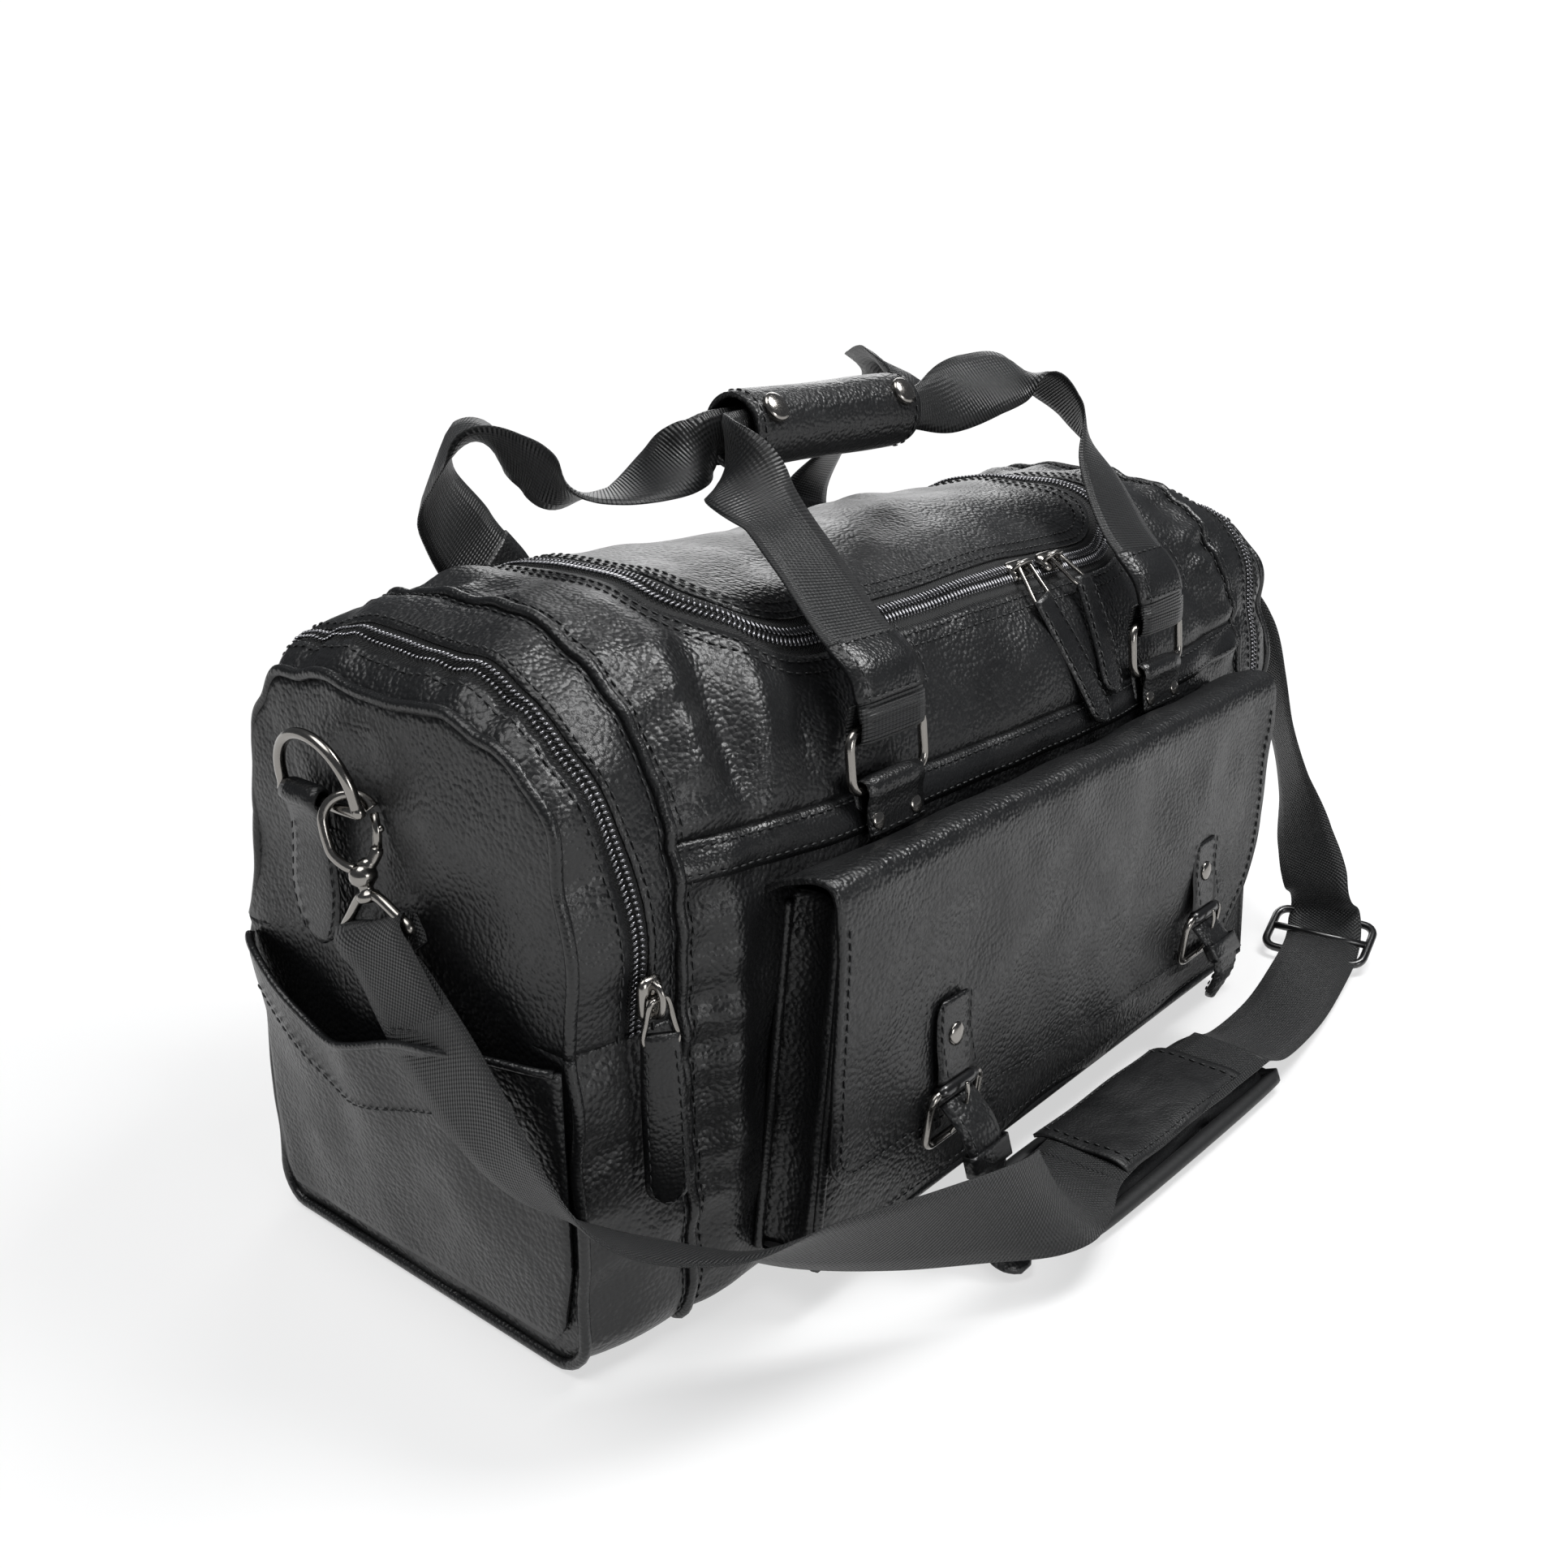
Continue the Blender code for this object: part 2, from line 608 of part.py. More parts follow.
def handle(name, keys, origin):
    """Webbing from one ring to the other; keys are (point, width direction, width, thickness)."""
    points = spline([k[0] for k in keys], 3)
    steps = len(points)
    acrosses, widths, thicks = [], [], []
    for n in range(steps):
        f = n / (steps - 1) * (len(keys) - 1)
        i = min(int(f), len(keys) - 2)
        t = f - i
        acrosses.append(Vector(keys[i][1]).lerp(Vector(keys[i + 1][1]), t))
        widths.append(keys[i][2] + (keys[i + 1][2] - keys[i][2]) * t)
        thicks.append(keys[i][3] + (keys[i + 1][3] - keys[i][3]) * t)
    return ribbon(name, points, acrosses, widths, thicks, "webbing", origin=origin)


X, Y, Z = Vector((1, 0, 0)), Vector((0, 1, 0)), Vector((0, 0, 1))
front_top = HANDLE_PIN["front"] + Vector((0, 0.002, 1)) * (RING_H + WEB_FOLD)
fy, fz = front_top.y, front_top.z
W, G, T = WEBBING, 0.018, WEB_THICK
handle("handle_front", [
    ((-.103, fy - .001, fz), X, W, T * 2),
    ((-.103, fy + .004, fz + .016), X, W, T * 2),
    ((-.102, -.088, HEIGHT - .0190), X, W, T * 2),
    ((-.099, -.068, HEIGHT - .0020), X, W, T),
    ((-.093, -.048, HEIGHT + .0110), (.9, .3, .2), W, T),
    ((-.092, -.030, HEIGHT + .0240), (.7, .2, .6), W * .9, T),
    ((-.084, -.014, HEIGHT + .0350), (.2, .2, 1), .028, T * 1.5),
    ((-.071, -.0055, HEIGHT + .0395), (0, .1, 1), G, T * 2),
    ((-.040, -.0050, HEIGHT + .0400), Z, G, T * 2),
    ((.0160, -.0050, HEIGHT + .0400), Z, G, T * 2),
    ((.0470, -.0055, HEIGHT + .0400), Z, G, T * 2),
    ((.0660, -.010, HEIGHT + .0420), (0, .5, 1), .030, T * 1.5),
    ((.0860, -.018, HEIGHT + .0490), (-.1, 1, .6), W, T),
    ((.1060, -.030, HEIGHT + .0520), (-.2, 1, .2), W, T),
    ((.1180, -.046, HEIGHT + .0380), (.5, .9, .1), W, T),
    ((.1170, -.062, HEIGHT + .0140), (.9, .3, .1), W, T),
    ((.1070, -.084, HEIGHT - .0120), X, W, T * 2),
    ((.1030, fy + .004, fz + .016), X, W, T * 2),
    ((.1030, fy - .001, fz), X, W, T * 2),
], HANDLE_PIN["front"])

by = HANDLE_PIN["back"].y - 0.002
bz = fz
handle("handle_back", [
    ((-.103, by + .001, bz), X, W, T * 2),
    ((-.104, by - .003, bz + .016), X, W, T * 2),
    ((-.120, .104, HEIGHT - .0100), (1, .1, 0), W, T),
    ((-.139, .097, HEIGHT + .0120), (.9, .5, 0), W, T),
    ((-.146, .082, HEIGHT + .0310), (.6, .8, .1), W, T),
    ((-.142, .066, HEIGHT + .0380), (.3, 1, 0), W, T),
    ((-.134, .049, HEIGHT + .0300), (.2, 1, -.3), W, T),
    ((-.126, .034, HEIGHT + .0190), (.1, 1, -.1), W, T),
    ((-.112, .020, HEIGHT + .0180), (-.1, 1, .3), W, T),
    ((-.094, .010, HEIGHT + .0260), (-.1, .7, .8), .034, T),
    ((-.081, .006, HEIGHT + .0350), (0, .2, 1), .024, T * 1.5),
    ((-.070, .0050, HEIGHT + .0395), Z, G, T * 2),
    ((-.030, .0050, HEIGHT + .0400), Z, G, T * 2),
    ((.0160, .0050, HEIGHT + .0400), Z, G, T * 2),
    ((.0470, .0055, HEIGHT + .0400), Z, G, T * 2),
    ((.0620, .014, HEIGHT + .0440), (0, .3, 1), .028, T * 1.5),
    ((.0780, .028, HEIGHT + .0520), (-.2, .8, .7), W, T),
    ((.0980, .048, HEIGHT + .0520), (-.2, 1, .2), W, T),
    ((.1140, .068, HEIGHT + .0380), (.5, .9, 0), W, T),
    ((.1160, .086, HEIGHT + .0140), (.9, .4, 0), W, T),
    ((.1080, .102, HEIGHT - .0120), X, W, T * 2),
    ((.1030, by - .003, bz + .016), X, W, T * 2),
    ((.1030, by + .001, bz), X, W, T * 2),
], HANDLE_PIN["back"])

# Leather grip rolled round both handles.
grip_y, grip_z = GRIP[0], HEIGHT + GRIP[1]
rings = []
for depth in (0.0, 0.0026):
    for x in (WRAP_X if depth == 0 else WRAP_X[::-1]):
        rings.append([Vector((x, grip_y + (.0150 - depth) * math.cos(a), grip_z + (.0158 - depth) * math.sin(a)))
                      for a in span(0, 2 * math.pi, 21)[:-1]])
points = [p for ring in rings for p in ring]
faces = grid_faces(4, 20, 0, True) + [(60 + k, 60 + (k + 1) % 20, (k + 1) % 20, k) for k in range(20)]
add("grip_wrap", points, faces, "leather", origin=(sum(WRAP_X) / 2, grip_y, grip_z))

# ---- front pocket ------------------------------------------------------------------------------


def pocket_block(name, half, low, high, front, back_off, **more):
    rings = []
    for z in (low, high):
        back = [Vector((x, -half_depth(x) - back_off, z)) for x in span(-half, half, 11)]
        rings.append([Vector((-half, -front, z)), Vector((half, -front, z))] + back[::-1])
    return loft(name, rings, "leather", **more)


pouch = pocket_block("front_pocket", POCKET_X, *POCKET_Z, POCKET_Y, GAP)
combine(pouch, pocket_block("hollow", POCKET_X - LEATHER, POCKET_Z[0] + LEATHER, POCKET_Z[1] + .01,
                            POCKET_Y - LEATHER, GAP + LEATHER, hidden=True), "DIFFERENCE")

edge_x = span(-FLAP_X, FLAP_X, 11)


def flap_top_point(i, j, d):
    t = i / 2
    x = edge_x[j]
    start = skin(x, run_at_height(0.1600)) + Vector((0, -GAP, 0))
    end = Vector((x, -0.1318, FLAP_HINGE[1] + .0012))
    point = start.lerp(end, t)
    point.z -= d
    return point


sheet("flap_top", 3, 11, flap_top_point, LEATHER, "leather")

hinge_at = Vector((0, *FLAP_HINGE))
outline = []
for cx, cz, start in ((FLAP_X - .018, FLAP_Z[0] + .018, 270), (FLAP_X - .002, FLAP_Z[1] - .002, 0),
                      (-FLAP_X + .002, FLAP_Z[1] - .002, 90), (-FLAP_X + .018, FLAP_Z[0] + .018, 180)):
    r = .018 if cz < .1 else .002
    outline += [(cx + r * math.cos(math.radians(start + 22.5 * k)), cz + r * math.sin(math.radians(start + 22.5 * k)))
                for k in range(5)]
loft("pocket_flap", [[Vector((x, -y, z)) for x, z in outline] for y in (FLAP_Y, FLAP_Y - .0022)], "leather",
     origin=hinge_at)

BAR_Y = -FLAP_Y - 0.0060
for side, label in ((-1, "left"), (1, "right")):
    x = side * CLOSURE_X
    bar = Vector((x, BAR_Y, BAR_Z))
    half = CLOSURE_W / 2
    # Leather tab riveted to the flap and folded round the buckle bar.
    tab_loop("closure_tab_" + label, bar, X, Z, -Y, CLOSURE_W - .002, .0022, .0034, .034)
    # Buckle frame with its roller bar on the hinge line.
    slope = Vector((0, 0.12, -1)).normalized()
    loop = [bar + Vector((px, 0, 0)) + slope * (0.011 - pz)
            for px, pz in rounded_loop(CLOSURE_W + .008, .022, .004)]
    wire("buckle_" + label, loop, .0016, "gunmetal", closed=True, sides=8, hint=(0, 1, 0), origin=bar)
    # Strap end hanging from the buckle.
    keys = [(0.1478, .0600), (.1530, .0540), (.1570, .0450), (.1590, .0330), (.1595, .0200), (.1585, .0080)]
    if side > 0:
        keys = [(0.1478, .0600), (.1525, .0540), (.1540, .0470), (.1520, .0400), (.1500, .0330), (.1480, .0270)]
    path = spline([(x, -y, z) for y, z in keys], 2)
    widths = [CLOSURE_W - .003] * (len(path) - 2) + [CLOSURE_W - .008, CLOSURE_W - .015]
    ribbon("strap_end_" + label, path, [X] * len(path), widths, [.0026] * len(path), "leather", origin=bar)

# ---- D-rings and snap hooks --------------------------------------------------------------------

D_Y, D_Z, D_HALF = 0.0165, 0.187, 0.0205
D_X = HALF + 0.0078
for side, label in ((-1, "left"), (1, "right")):
    out = X * side
    pin_at = Vector((side * D_X, D_Y + .0070, D_Z))
    tab_loop("d_ring_tab_" + label, pin_at, Y, -Z, out, 0.020, .0026, LEATHER + .0008, 0.052)
    path = [(-D_HALF + .002, 0), (D_HALF - .002, 0), (D_HALF, .002)]
    path += [(D_HALF * math.cos(a), .0045 + D_HALF * math.sin(a)) for a in span(0, math.pi, 11)]
    path += [(-D_HALF, .002)]
    lean = Vector((side * .18, 0, 1)).normalized()
    wire("d_ring_" + label, [Vector((side * D_X, D_Y - u, D_Z)) + lean * v for u, v in path], .0020, "gunmetal",
         closed=True, sides=8, hint=out, origin=(side * D_X, D_Y, D_Z))

    # Snap hook hanging from the lower corner of the D-ring.
    wide = Vector((-side * .64, -.77, 0)).normalized()
    down = Vector((side * .05, -.35, -.93)).normalized()
    wide = (wide - down * wide.dot(down)).normalized()
    across = wide.cross(down).normalized()
    top = Vector((side * D_X, D_Y - D_HALF + .0062, D_Z)) - down * .0054
    r, wire_r = .0088, .0017
    mid = top + down * r

    def on_hook(u, v):
        return mid + wide * u + down * v

    hook_path = [on_hook(r * math.cos(a), -r * math.sin(a)) for a in span(.35, math.pi, 8)]
    hook_path += [on_hook(-r, .006), on_hook(-r * .9, .0105), on_hook(-r * .45, .0155), on_hook(0, .0175)]
    hook = wire("snap_hook_" + label, hook_path, wire_r, "gunmetal", sides=8, hint=across, origin=mid)
    # Barrel and neck below the hook.
    neck = [(.0160, .0024), (.0168, .0046), (.0210, .0046), (.0222, .0026), (.0245, .0026), (.0252, .0040),
            (.0275, .0040)]
    rings = [[on_hook(0, v) + radius * (math.cos(a) * wide + math.sin(a) * across)
              for a in span(0, 2 * math.pi, 11)[:-1]] for v, radius in neck]
    combine(hook, loft("neck", rings, "gunmetal", hidden=True), "UNION")
    foot = on_hook(0, .0262)
    bar_dir = Vector((0, -.96, .28)).normalized()
    bar_mid = foot + down * .0120
    corners4 = [foot - bar_dir * .005, foot + bar_dir * .005, bar_mid + bar_dir * .0205, bar_mid - bar_dir * .0205]
    loop = []
    for k in range(4):
        a, b = corners4[k], corners4[(k + 1) % 4]
        loop += [a.lerp(b, .1), a.lerp(b, .9)]
    combine(hook, wire("loop", loop, wire_r, "gunmetal", closed=True, sides=8, hint=across, hidden=True), "UNION")
    # Spring gate closing the open side of the hook.
    pivot = on_hook(r * .78, .0112)
    wire("hook_gate_" + label, [pivot, on_hook(r * .98, -.0005)], .0014, "gunmetal", sides=8, hint=across,
         origin=pivot)
    if side < 0:
        STRAP_BAR = bar_mid.copy()

# ---- shoulder strap ----------------------------------------------------------------------------


def strap(name, keys):
    points = spline([k[0] for k in keys], 3)
    acrosses = []
    for n in range(len(points)):
        f = n / (len(points) - 1) * (len(keys) - 1)
        i = min(int(f), len(keys) - 2)
        acrosses.append(Vector(keys[i][1]).lerp(Vector(keys[i + 1][1]), f - i))
    return ribbon(name, points, acrosses, [WEBBING] * len(points), [WEB_THICK] * len(points), "webbing")


bx, by2, bz2 = STRAP_BAR
strap("strap_left", [
    ((bx - .0005, by2 - .001, bz2 - .0072), (0, -.96, .28)),
    ((bx - .0010, by2 - .012, bz2 - .020), (0, -.85, .45)),
    ((-.2690, -.066, .106), (0, -.80, .55)),
    ((-.2680, -.090, .087), (-.2, -.80, .55)),
    ((-.2560, -.1130, .070), (-.5, -.70, .35)),
    ((-.2300, -.1330, .059), (-.3, -.80, .35)),
    ((-.1980, -.1490, .052), (0, -.60, .70)),
    ((-.1620, -.1660, .046), (0, -.30, .95)),
    ((-.1220, -.1810, .0400), (0, .10, 1)),
    ((-.0960, -.1840, .0330), (.1, .60, .75)),
    ((-.0780, -.1770, .0230), (.1, .98, .15)),
    ((-.0620, -.1700, .0180), (0.04, 1, 0)),
    ((-.0500, -.1670, .0166), (0.04, 1, 0)),
])
strap("strap_right", [
    ((.0800, -.1710, .0170), (0, 1, 0)),
    ((.1000, -.1720, .0120), (0, 1, 0)),
    ((.1500, -.1670, .0060), (.1, 1, 0)),
    ((.1950, -.1600, .0060), (.1, 1, .05)),
    ((.2300, -.1540, .0100), (.1, 1, .1)),
    ((.2440, -.1480, .0220), (.1, 1, .2)),
    ((.2440, -.1420, .0380), (.2, 1, .25)),
    ((.2520, -.1300, .0580), (.4, .9, .2)),
    ((.2640, -.1160, .0820), (.6, .7, .1)),
    ((.2740, -.1020, .1080), (.6, .6, 0)),
    ((.2800, -.0880, .1350), (.5, .8, .1)),
    ((.2840, -.0740, .1600), (.3, .9, .3)),
    ((.2850, -.0580, .1760), (.1, .9, .4)),
    ((.2830, -.0440, .1740), (0, .96, -.10)),
    ((.2770, -.0370, .1660), (0, .96, -.20)),
])

# Padded shoulder piece lying in front of the bag.
pad_a, pad_b = Vector((-.074, -.1640, 0)), Vector((.086, -.1700, 0))
along = (pad_b - pad_a).normalized()
cross = Vector((-along.y, along.x, 0))
rings = []
for lift, shrink in ((.0012, .0030), (.0040, 0), (.0100, 0), (.0145, .0050)):
    ring = []
    for u, v in rounded_loop((pad_b - pad_a).length - 2 * shrink, .058 - 2 * shrink, .022, 4):
        ring.append((pad_a + pad_b) / 2 + along * u + cross * v + Z * lift)
    rings.append(ring)
loft("shoulder_pad", rings, "leather")
loop = [Vector((.2360, -.1500, .0035)) + Vector((1, .12, 0)).normalized() * u + Vector((-.12, 1, 0)).normalized() * v
        for u, v in rounded_loop(.026, .050, .005)]
wire("tri_glide", loop, .0020, "black_metal", closed=True, sides=8)
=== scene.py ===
import math
import bpy, bmesh
import numpy as np
from mathutils import Matrix, Vector


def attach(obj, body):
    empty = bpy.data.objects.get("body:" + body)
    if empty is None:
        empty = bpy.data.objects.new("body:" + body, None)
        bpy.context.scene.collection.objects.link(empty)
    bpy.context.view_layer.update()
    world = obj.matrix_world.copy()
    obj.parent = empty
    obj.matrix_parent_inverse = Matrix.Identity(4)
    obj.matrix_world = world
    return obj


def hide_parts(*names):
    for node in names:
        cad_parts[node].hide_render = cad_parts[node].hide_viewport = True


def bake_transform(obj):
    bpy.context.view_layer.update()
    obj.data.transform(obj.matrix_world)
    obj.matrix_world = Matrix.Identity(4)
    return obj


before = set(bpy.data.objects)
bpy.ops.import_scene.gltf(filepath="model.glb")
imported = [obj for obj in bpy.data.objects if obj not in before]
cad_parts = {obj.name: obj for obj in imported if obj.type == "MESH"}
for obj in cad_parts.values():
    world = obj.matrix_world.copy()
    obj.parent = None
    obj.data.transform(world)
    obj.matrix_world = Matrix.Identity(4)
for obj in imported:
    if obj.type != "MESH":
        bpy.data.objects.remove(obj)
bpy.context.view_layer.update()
scene = bpy.context.scene
scene.view_settings.view_transform = "Standard"

# ---- camera, floor and light
camera = {"eye": (-0.5485, -0.4276, 0.3717), "azimuth": -50.295, "elevation": 19.358, "roll": 0.220,
          "lens": 36.604}


def makeCamera():
    a, e, r = (math.radians(camera[k]) for k in ("azimuth", "elevation", "roll"))
    back = Vector((math.sin(a) * math.cos(e), -math.cos(a) * math.cos(e), math.sin(e)))
    right = Vector((math.cos(a), math.sin(a), 0))
    up = back.cross(right)
    right, up = right * math.cos(r) + up * math.sin(r), up * math.cos(r) - right * math.sin(r)
    made = bpy.data.objects.new("camera", bpy.data.cameras.new("camera"))
    made.data.lens, made.data.sensor_width = camera["lens"], 36
    made.data.clip_start = 0.02
    made.matrix_world = Matrix([[right[i], up[i], back[i], camera["eye"][i]] for i in range(3)]
                               + [[0, 0, 0, 1]])
    scene.collection.objects.link(made)
    scene.camera = made


makeCamera()


def colour(code):
    parts = [int(code[i:i + 2], 16) / 255 for i in (1, 3, 5)]
    return tuple(c / 12.92 if c <= 0.04045 else ((c + 0.055) / 1.055) ** 2.4 for c in parts) + (1,)


def put(tree, kind, settings=None, links=None):
    made = tree.nodes.new(kind)
    for key, value in (settings or {}).items():
        setattr(made, key, value)
    for key, value in (links or {}).items():
        if isinstance(value, bpy.types.NodeSocket):
            tree.links.new(value, made.inputs[key])
        else:
            made.inputs[key].default_value = value
    return made


def newFinish(name, base, roughness, metallic=0.0, **sockets):
    made = bpy.data.materials.new(name)
    made.use_nodes = True
    tree = made.node_tree
    shader = tree.nodes["Principled BSDF"]
    shader.inputs["Base Color"].default_value = colour(base)
    shader.inputs["Roughness"].default_value = roughness
    shader.inputs["Metallic"].default_value = metallic
    for key, value in sockets.items():
        shader.inputs[key.replace("_", " ")].default_value = value
    made.diffuse_color = colour(base)
    return made, tree, shader


def math2(tree, operation, a, b=None):
    links = {0: a} if b is None else {0: a, 1: b}
    return put(tree, "ShaderNodeMath", {"operation": operation}, links).outputs[0]


def leatherFinish(name, base, light, grain, depth, rough, creases):
    made, tree, shader = newFinish(name, base, rough[0], **{"Specular_IOR_Level": 0.5})
    place = put(tree, "ShaderNodeTexCoord").outputs["Object"]
    drift = put(tree, "ShaderNodeTexNoise", {}, {"Vector": place, "Scale": 0.35 / grain, "Detail": 2.0})
    moved = put(tree, "ShaderNodeVectorMath", {"operation": "MULTIPLY_ADD"},
                {0: drift.outputs["Color"], 1: (grain * 0.5,) * 3, 2: place})
    cells = put(tree, "ShaderNodeTexVoronoi", {"feature": "SMOOTH_F1"},
                {"Vector": moved.outputs[0], "Scale": 1 / grain, "Smoothness": 0.35})
    fine = put(tree, "ShaderNodeTexNoise", {}, {"Vector": place, "Scale": 2.2 / grain, "Detail": 3.0})
    grainHeight = math2(tree, "ADD", math2(tree, "MULTIPLY", cells.outputs["Distance"], -1.0),
                        math2(tree, "MULTIPLY", fine.outputs["Fac"], 0.22))
    folds = put(tree, "ShaderNodeTexNoise", {},
                {"Vector": place, "Scale": 38.0, "Detail": 2.5, "Roughness": 0.5, "Distortion": 0.9})
    broad = put(tree, "ShaderNodeTexNoise", {},
                {"Vector": place, "Scale": 16.0, "Detail": 3.0, "Distortion": 0.8})
    lower = put(tree, "ShaderNodeBump", {}, {"Height": folds.outputs["Fac"], "Strength": 1.0,
                                             "Distance": creases})
    middle = put(tree, "ShaderNodeBump", {}, {"Height": broad.outputs["Fac"], "Strength": 1.0,
                                              "Distance": creases * 2.5, "Normal": lower.outputs[0]})
    upper = put(tree, "ShaderNodeBump", {}, {"Height": grainHeight, "Strength": 1.0, "Distance": depth,
                                             "Normal": middle.outputs[0]})
    tree.links.new(upper.outputs[0], shader.inputs["Normal"])
    tint = put(tree, "ShaderNodeMix", {"data_type": "RGBA"}, {0: broad.outputs["Fac"], 6: colour(base),
                                                              7: colour(light)})
    tree.links.new(tint.outputs[2], shader.inputs["Base Color"])
    gloss = put(tree, "ShaderNodeMapRange", {},
                {"Value": folds.outputs["Fac"], "From Min": 0.3, "From Max": 0.7, "To Min": rough[0],
                 "To Max": rough[1]})
    tree.links.new(gloss.outputs[0], shader.inputs["Roughness"])
    return made


def wovenFinish(name, base, along, across, depth, rough, chevron=0.0):
    # along and across are the yarn spacings; a chevron turns the plain weave into a herringbone
    made, tree, shader = newFinish(name, base, rough, Sheen_Weight=0.06, Sheen_Roughness=0.4)
    uv = put(tree, "ShaderNodeSeparateXYZ", {}, {0: put(tree, "ShaderNodeTexCoord").outputs["UV"]})
    u, v = uv.outputs[0], uv.outputs[1]
    if chevron:
        fold = math2(tree, "PINGPONG", v, chevron)
        height = math2(tree, "SINE", math2(tree, "MULTIPLY", math2(tree, "ADD", u, fold),
                                           2 * math.pi / along))
    elif not across:
        # plain cross ribs, with threads that show faintly along the length
        height = math2(tree, "ADD", math2(tree, "SINE", math2(tree, "MULTIPLY", u, 2 * math.pi / along)),
                       math2(tree, "MULTIPLY", math2(tree, "SINE",
                                                     math2(tree, "MULTIPLY", v, 2 * math.pi / 0.0021)), 0.3))
    else:
        height = math2(tree, "MULTIPLY", math2(tree, "SINE", math2(tree, "MULTIPLY", u, 2 * math.pi / along)),
                       math2(tree, "SINE", math2(tree, "MULTIPLY", v, 2 * math.pi / across)))
    place = put(tree, "ShaderNodeTexCoord").outputs["Object"]
    uneven = put(tree, "ShaderNodeTexNoise", {}, {"Vector": place, "Scale": 240.0, "Detail": 3.0})
    both = math2(tree, "ADD", height, math2(tree, "MULTIPLY", uneven.outputs["Fac"], 0.8))
    bump = put(tree, "ShaderNodeBump", {}, {"Height": both, "Strength": 1.0, "Distance": depth})
    tree.links.new(bump.outputs[0], shader.inputs["Normal"])
    # the base colour follows the weave's height: painted shade in the grooves and a painted highlight on the
    # raised yarns, plus uneven random tone from the noise
    paintedShadeAndTone = put(tree, "ShaderNodeMapRange", {},
                {"Value": both, "From Min": -1.0, "From Max": 1.6, "To Min": 0.35, "To Max": 1.5})
    tint = put(tree, "ShaderNodeVectorMath", {"operation": "SCALE"},
               {0: colour(base)[:3], "Scale": paintedShadeAndTone.outputs[0]})
    tree.links.new(tint.outputs[0], shader.inputs["Base Color"])
    return made


def metalFinish(name, base, rough, wear):
    made, tree, shader = newFinish(name, base, rough, 1.0)
    place = put(tree, "ShaderNodeTexCoord").outputs["Object"]
    marks = put(tree, "ShaderNodeTexNoise", {},
                {"Vector": place, "Scale": 420.0, "Detail": 4.0, "Distortion": 2.0})
    spread = put(tree, "ShaderNodeMapRange", {},
                 {"Value": marks.outputs["Fac"], "From Min": 0.35, "From Max": 0.7, "To Min": rough,
                  "To Max": rough + wear})
    tree.links.new(spread.outputs[0], shader.inputs["Roughness"])
    return made


finishes = {
    # soft pebbled polyurethane leather, embossed: near black with a satin sheen and a millimetre grain
    "hide": leatherFinish("pebbledLeather", "#0d0d0e", "#141516", 0.0019, 0.00042, (0.33, 0.45), 0.00035),
    # the same leather pressed over cord or folded: tighter and a little glossier
    "rolled": leatherFinish("rolledLeatherEdge", "#0c0c0d", "#121314", 0.0014, 0.00022, (0.30, 0.40), 0.0002),
    # thin smooth leather of the shoulder pad's sleeve: fine grain, duller
    "smooth": leatherFinish("smoothLeather", "#0c0c0d", "#121314", 0.0011, 0.00016, (0.44, 0.58), 0.0009),
    # polyester webbing, woven 1.5 mm yarns: dull with a fine square grid
    "strap": wovenFinish("wovenWebbing", "#111213", 0.0017, 0.0022, 0.00030, 0.50),
    # ribbed grosgrain of the grab handles: fine cross ribs
    "grab": wovenFinish("ribbedWebbing", "#0f1011", 0.0014, 0.0, 0.00016, 0.42),
    # herringbone zip tape: dull, small chevrons
    "tape": wovenFinish("herringboneTape", "#0f1011", 0.0014, 0.0020, 0.00022, 0.70, chevron=0.0022),
    # rib-woven binding round the shoulder pad
    "binding": wovenFinish("ribbedBinding", "#0f1011", 0.0017, 0.0100, 0.00035, 0.62),
    # bonded polyester thread
    "thread": newFinish("bondedThread", "#1a1b1c", 0.5)[0],
    # woven polyester lining, only seen with the bag open
    "lining": wovenFinish("liningCloth", "#1c1c1d", 0.0012, 0.0012, 0.00010, 0.85),
    # polished gunmetal plating on cast zinc: dark mirror with fine handling marks
    "gunmetal": metalFinish("gunmetalPlate", "#8b8884", 0.14, 0.14),
    # metallised coil teeth: bright grey beads
    "teeth": metalFinish("metallisedCoil", "#77777a", 0.24, 0.10),
    # black lacquer on steel wire
    "lacquer": newFinish("blackLacquer", "#0d0d0e", 0.28, Coat_Weight=0.4, Coat_Roughness=0.15)[0],
}
print("finishes ready")


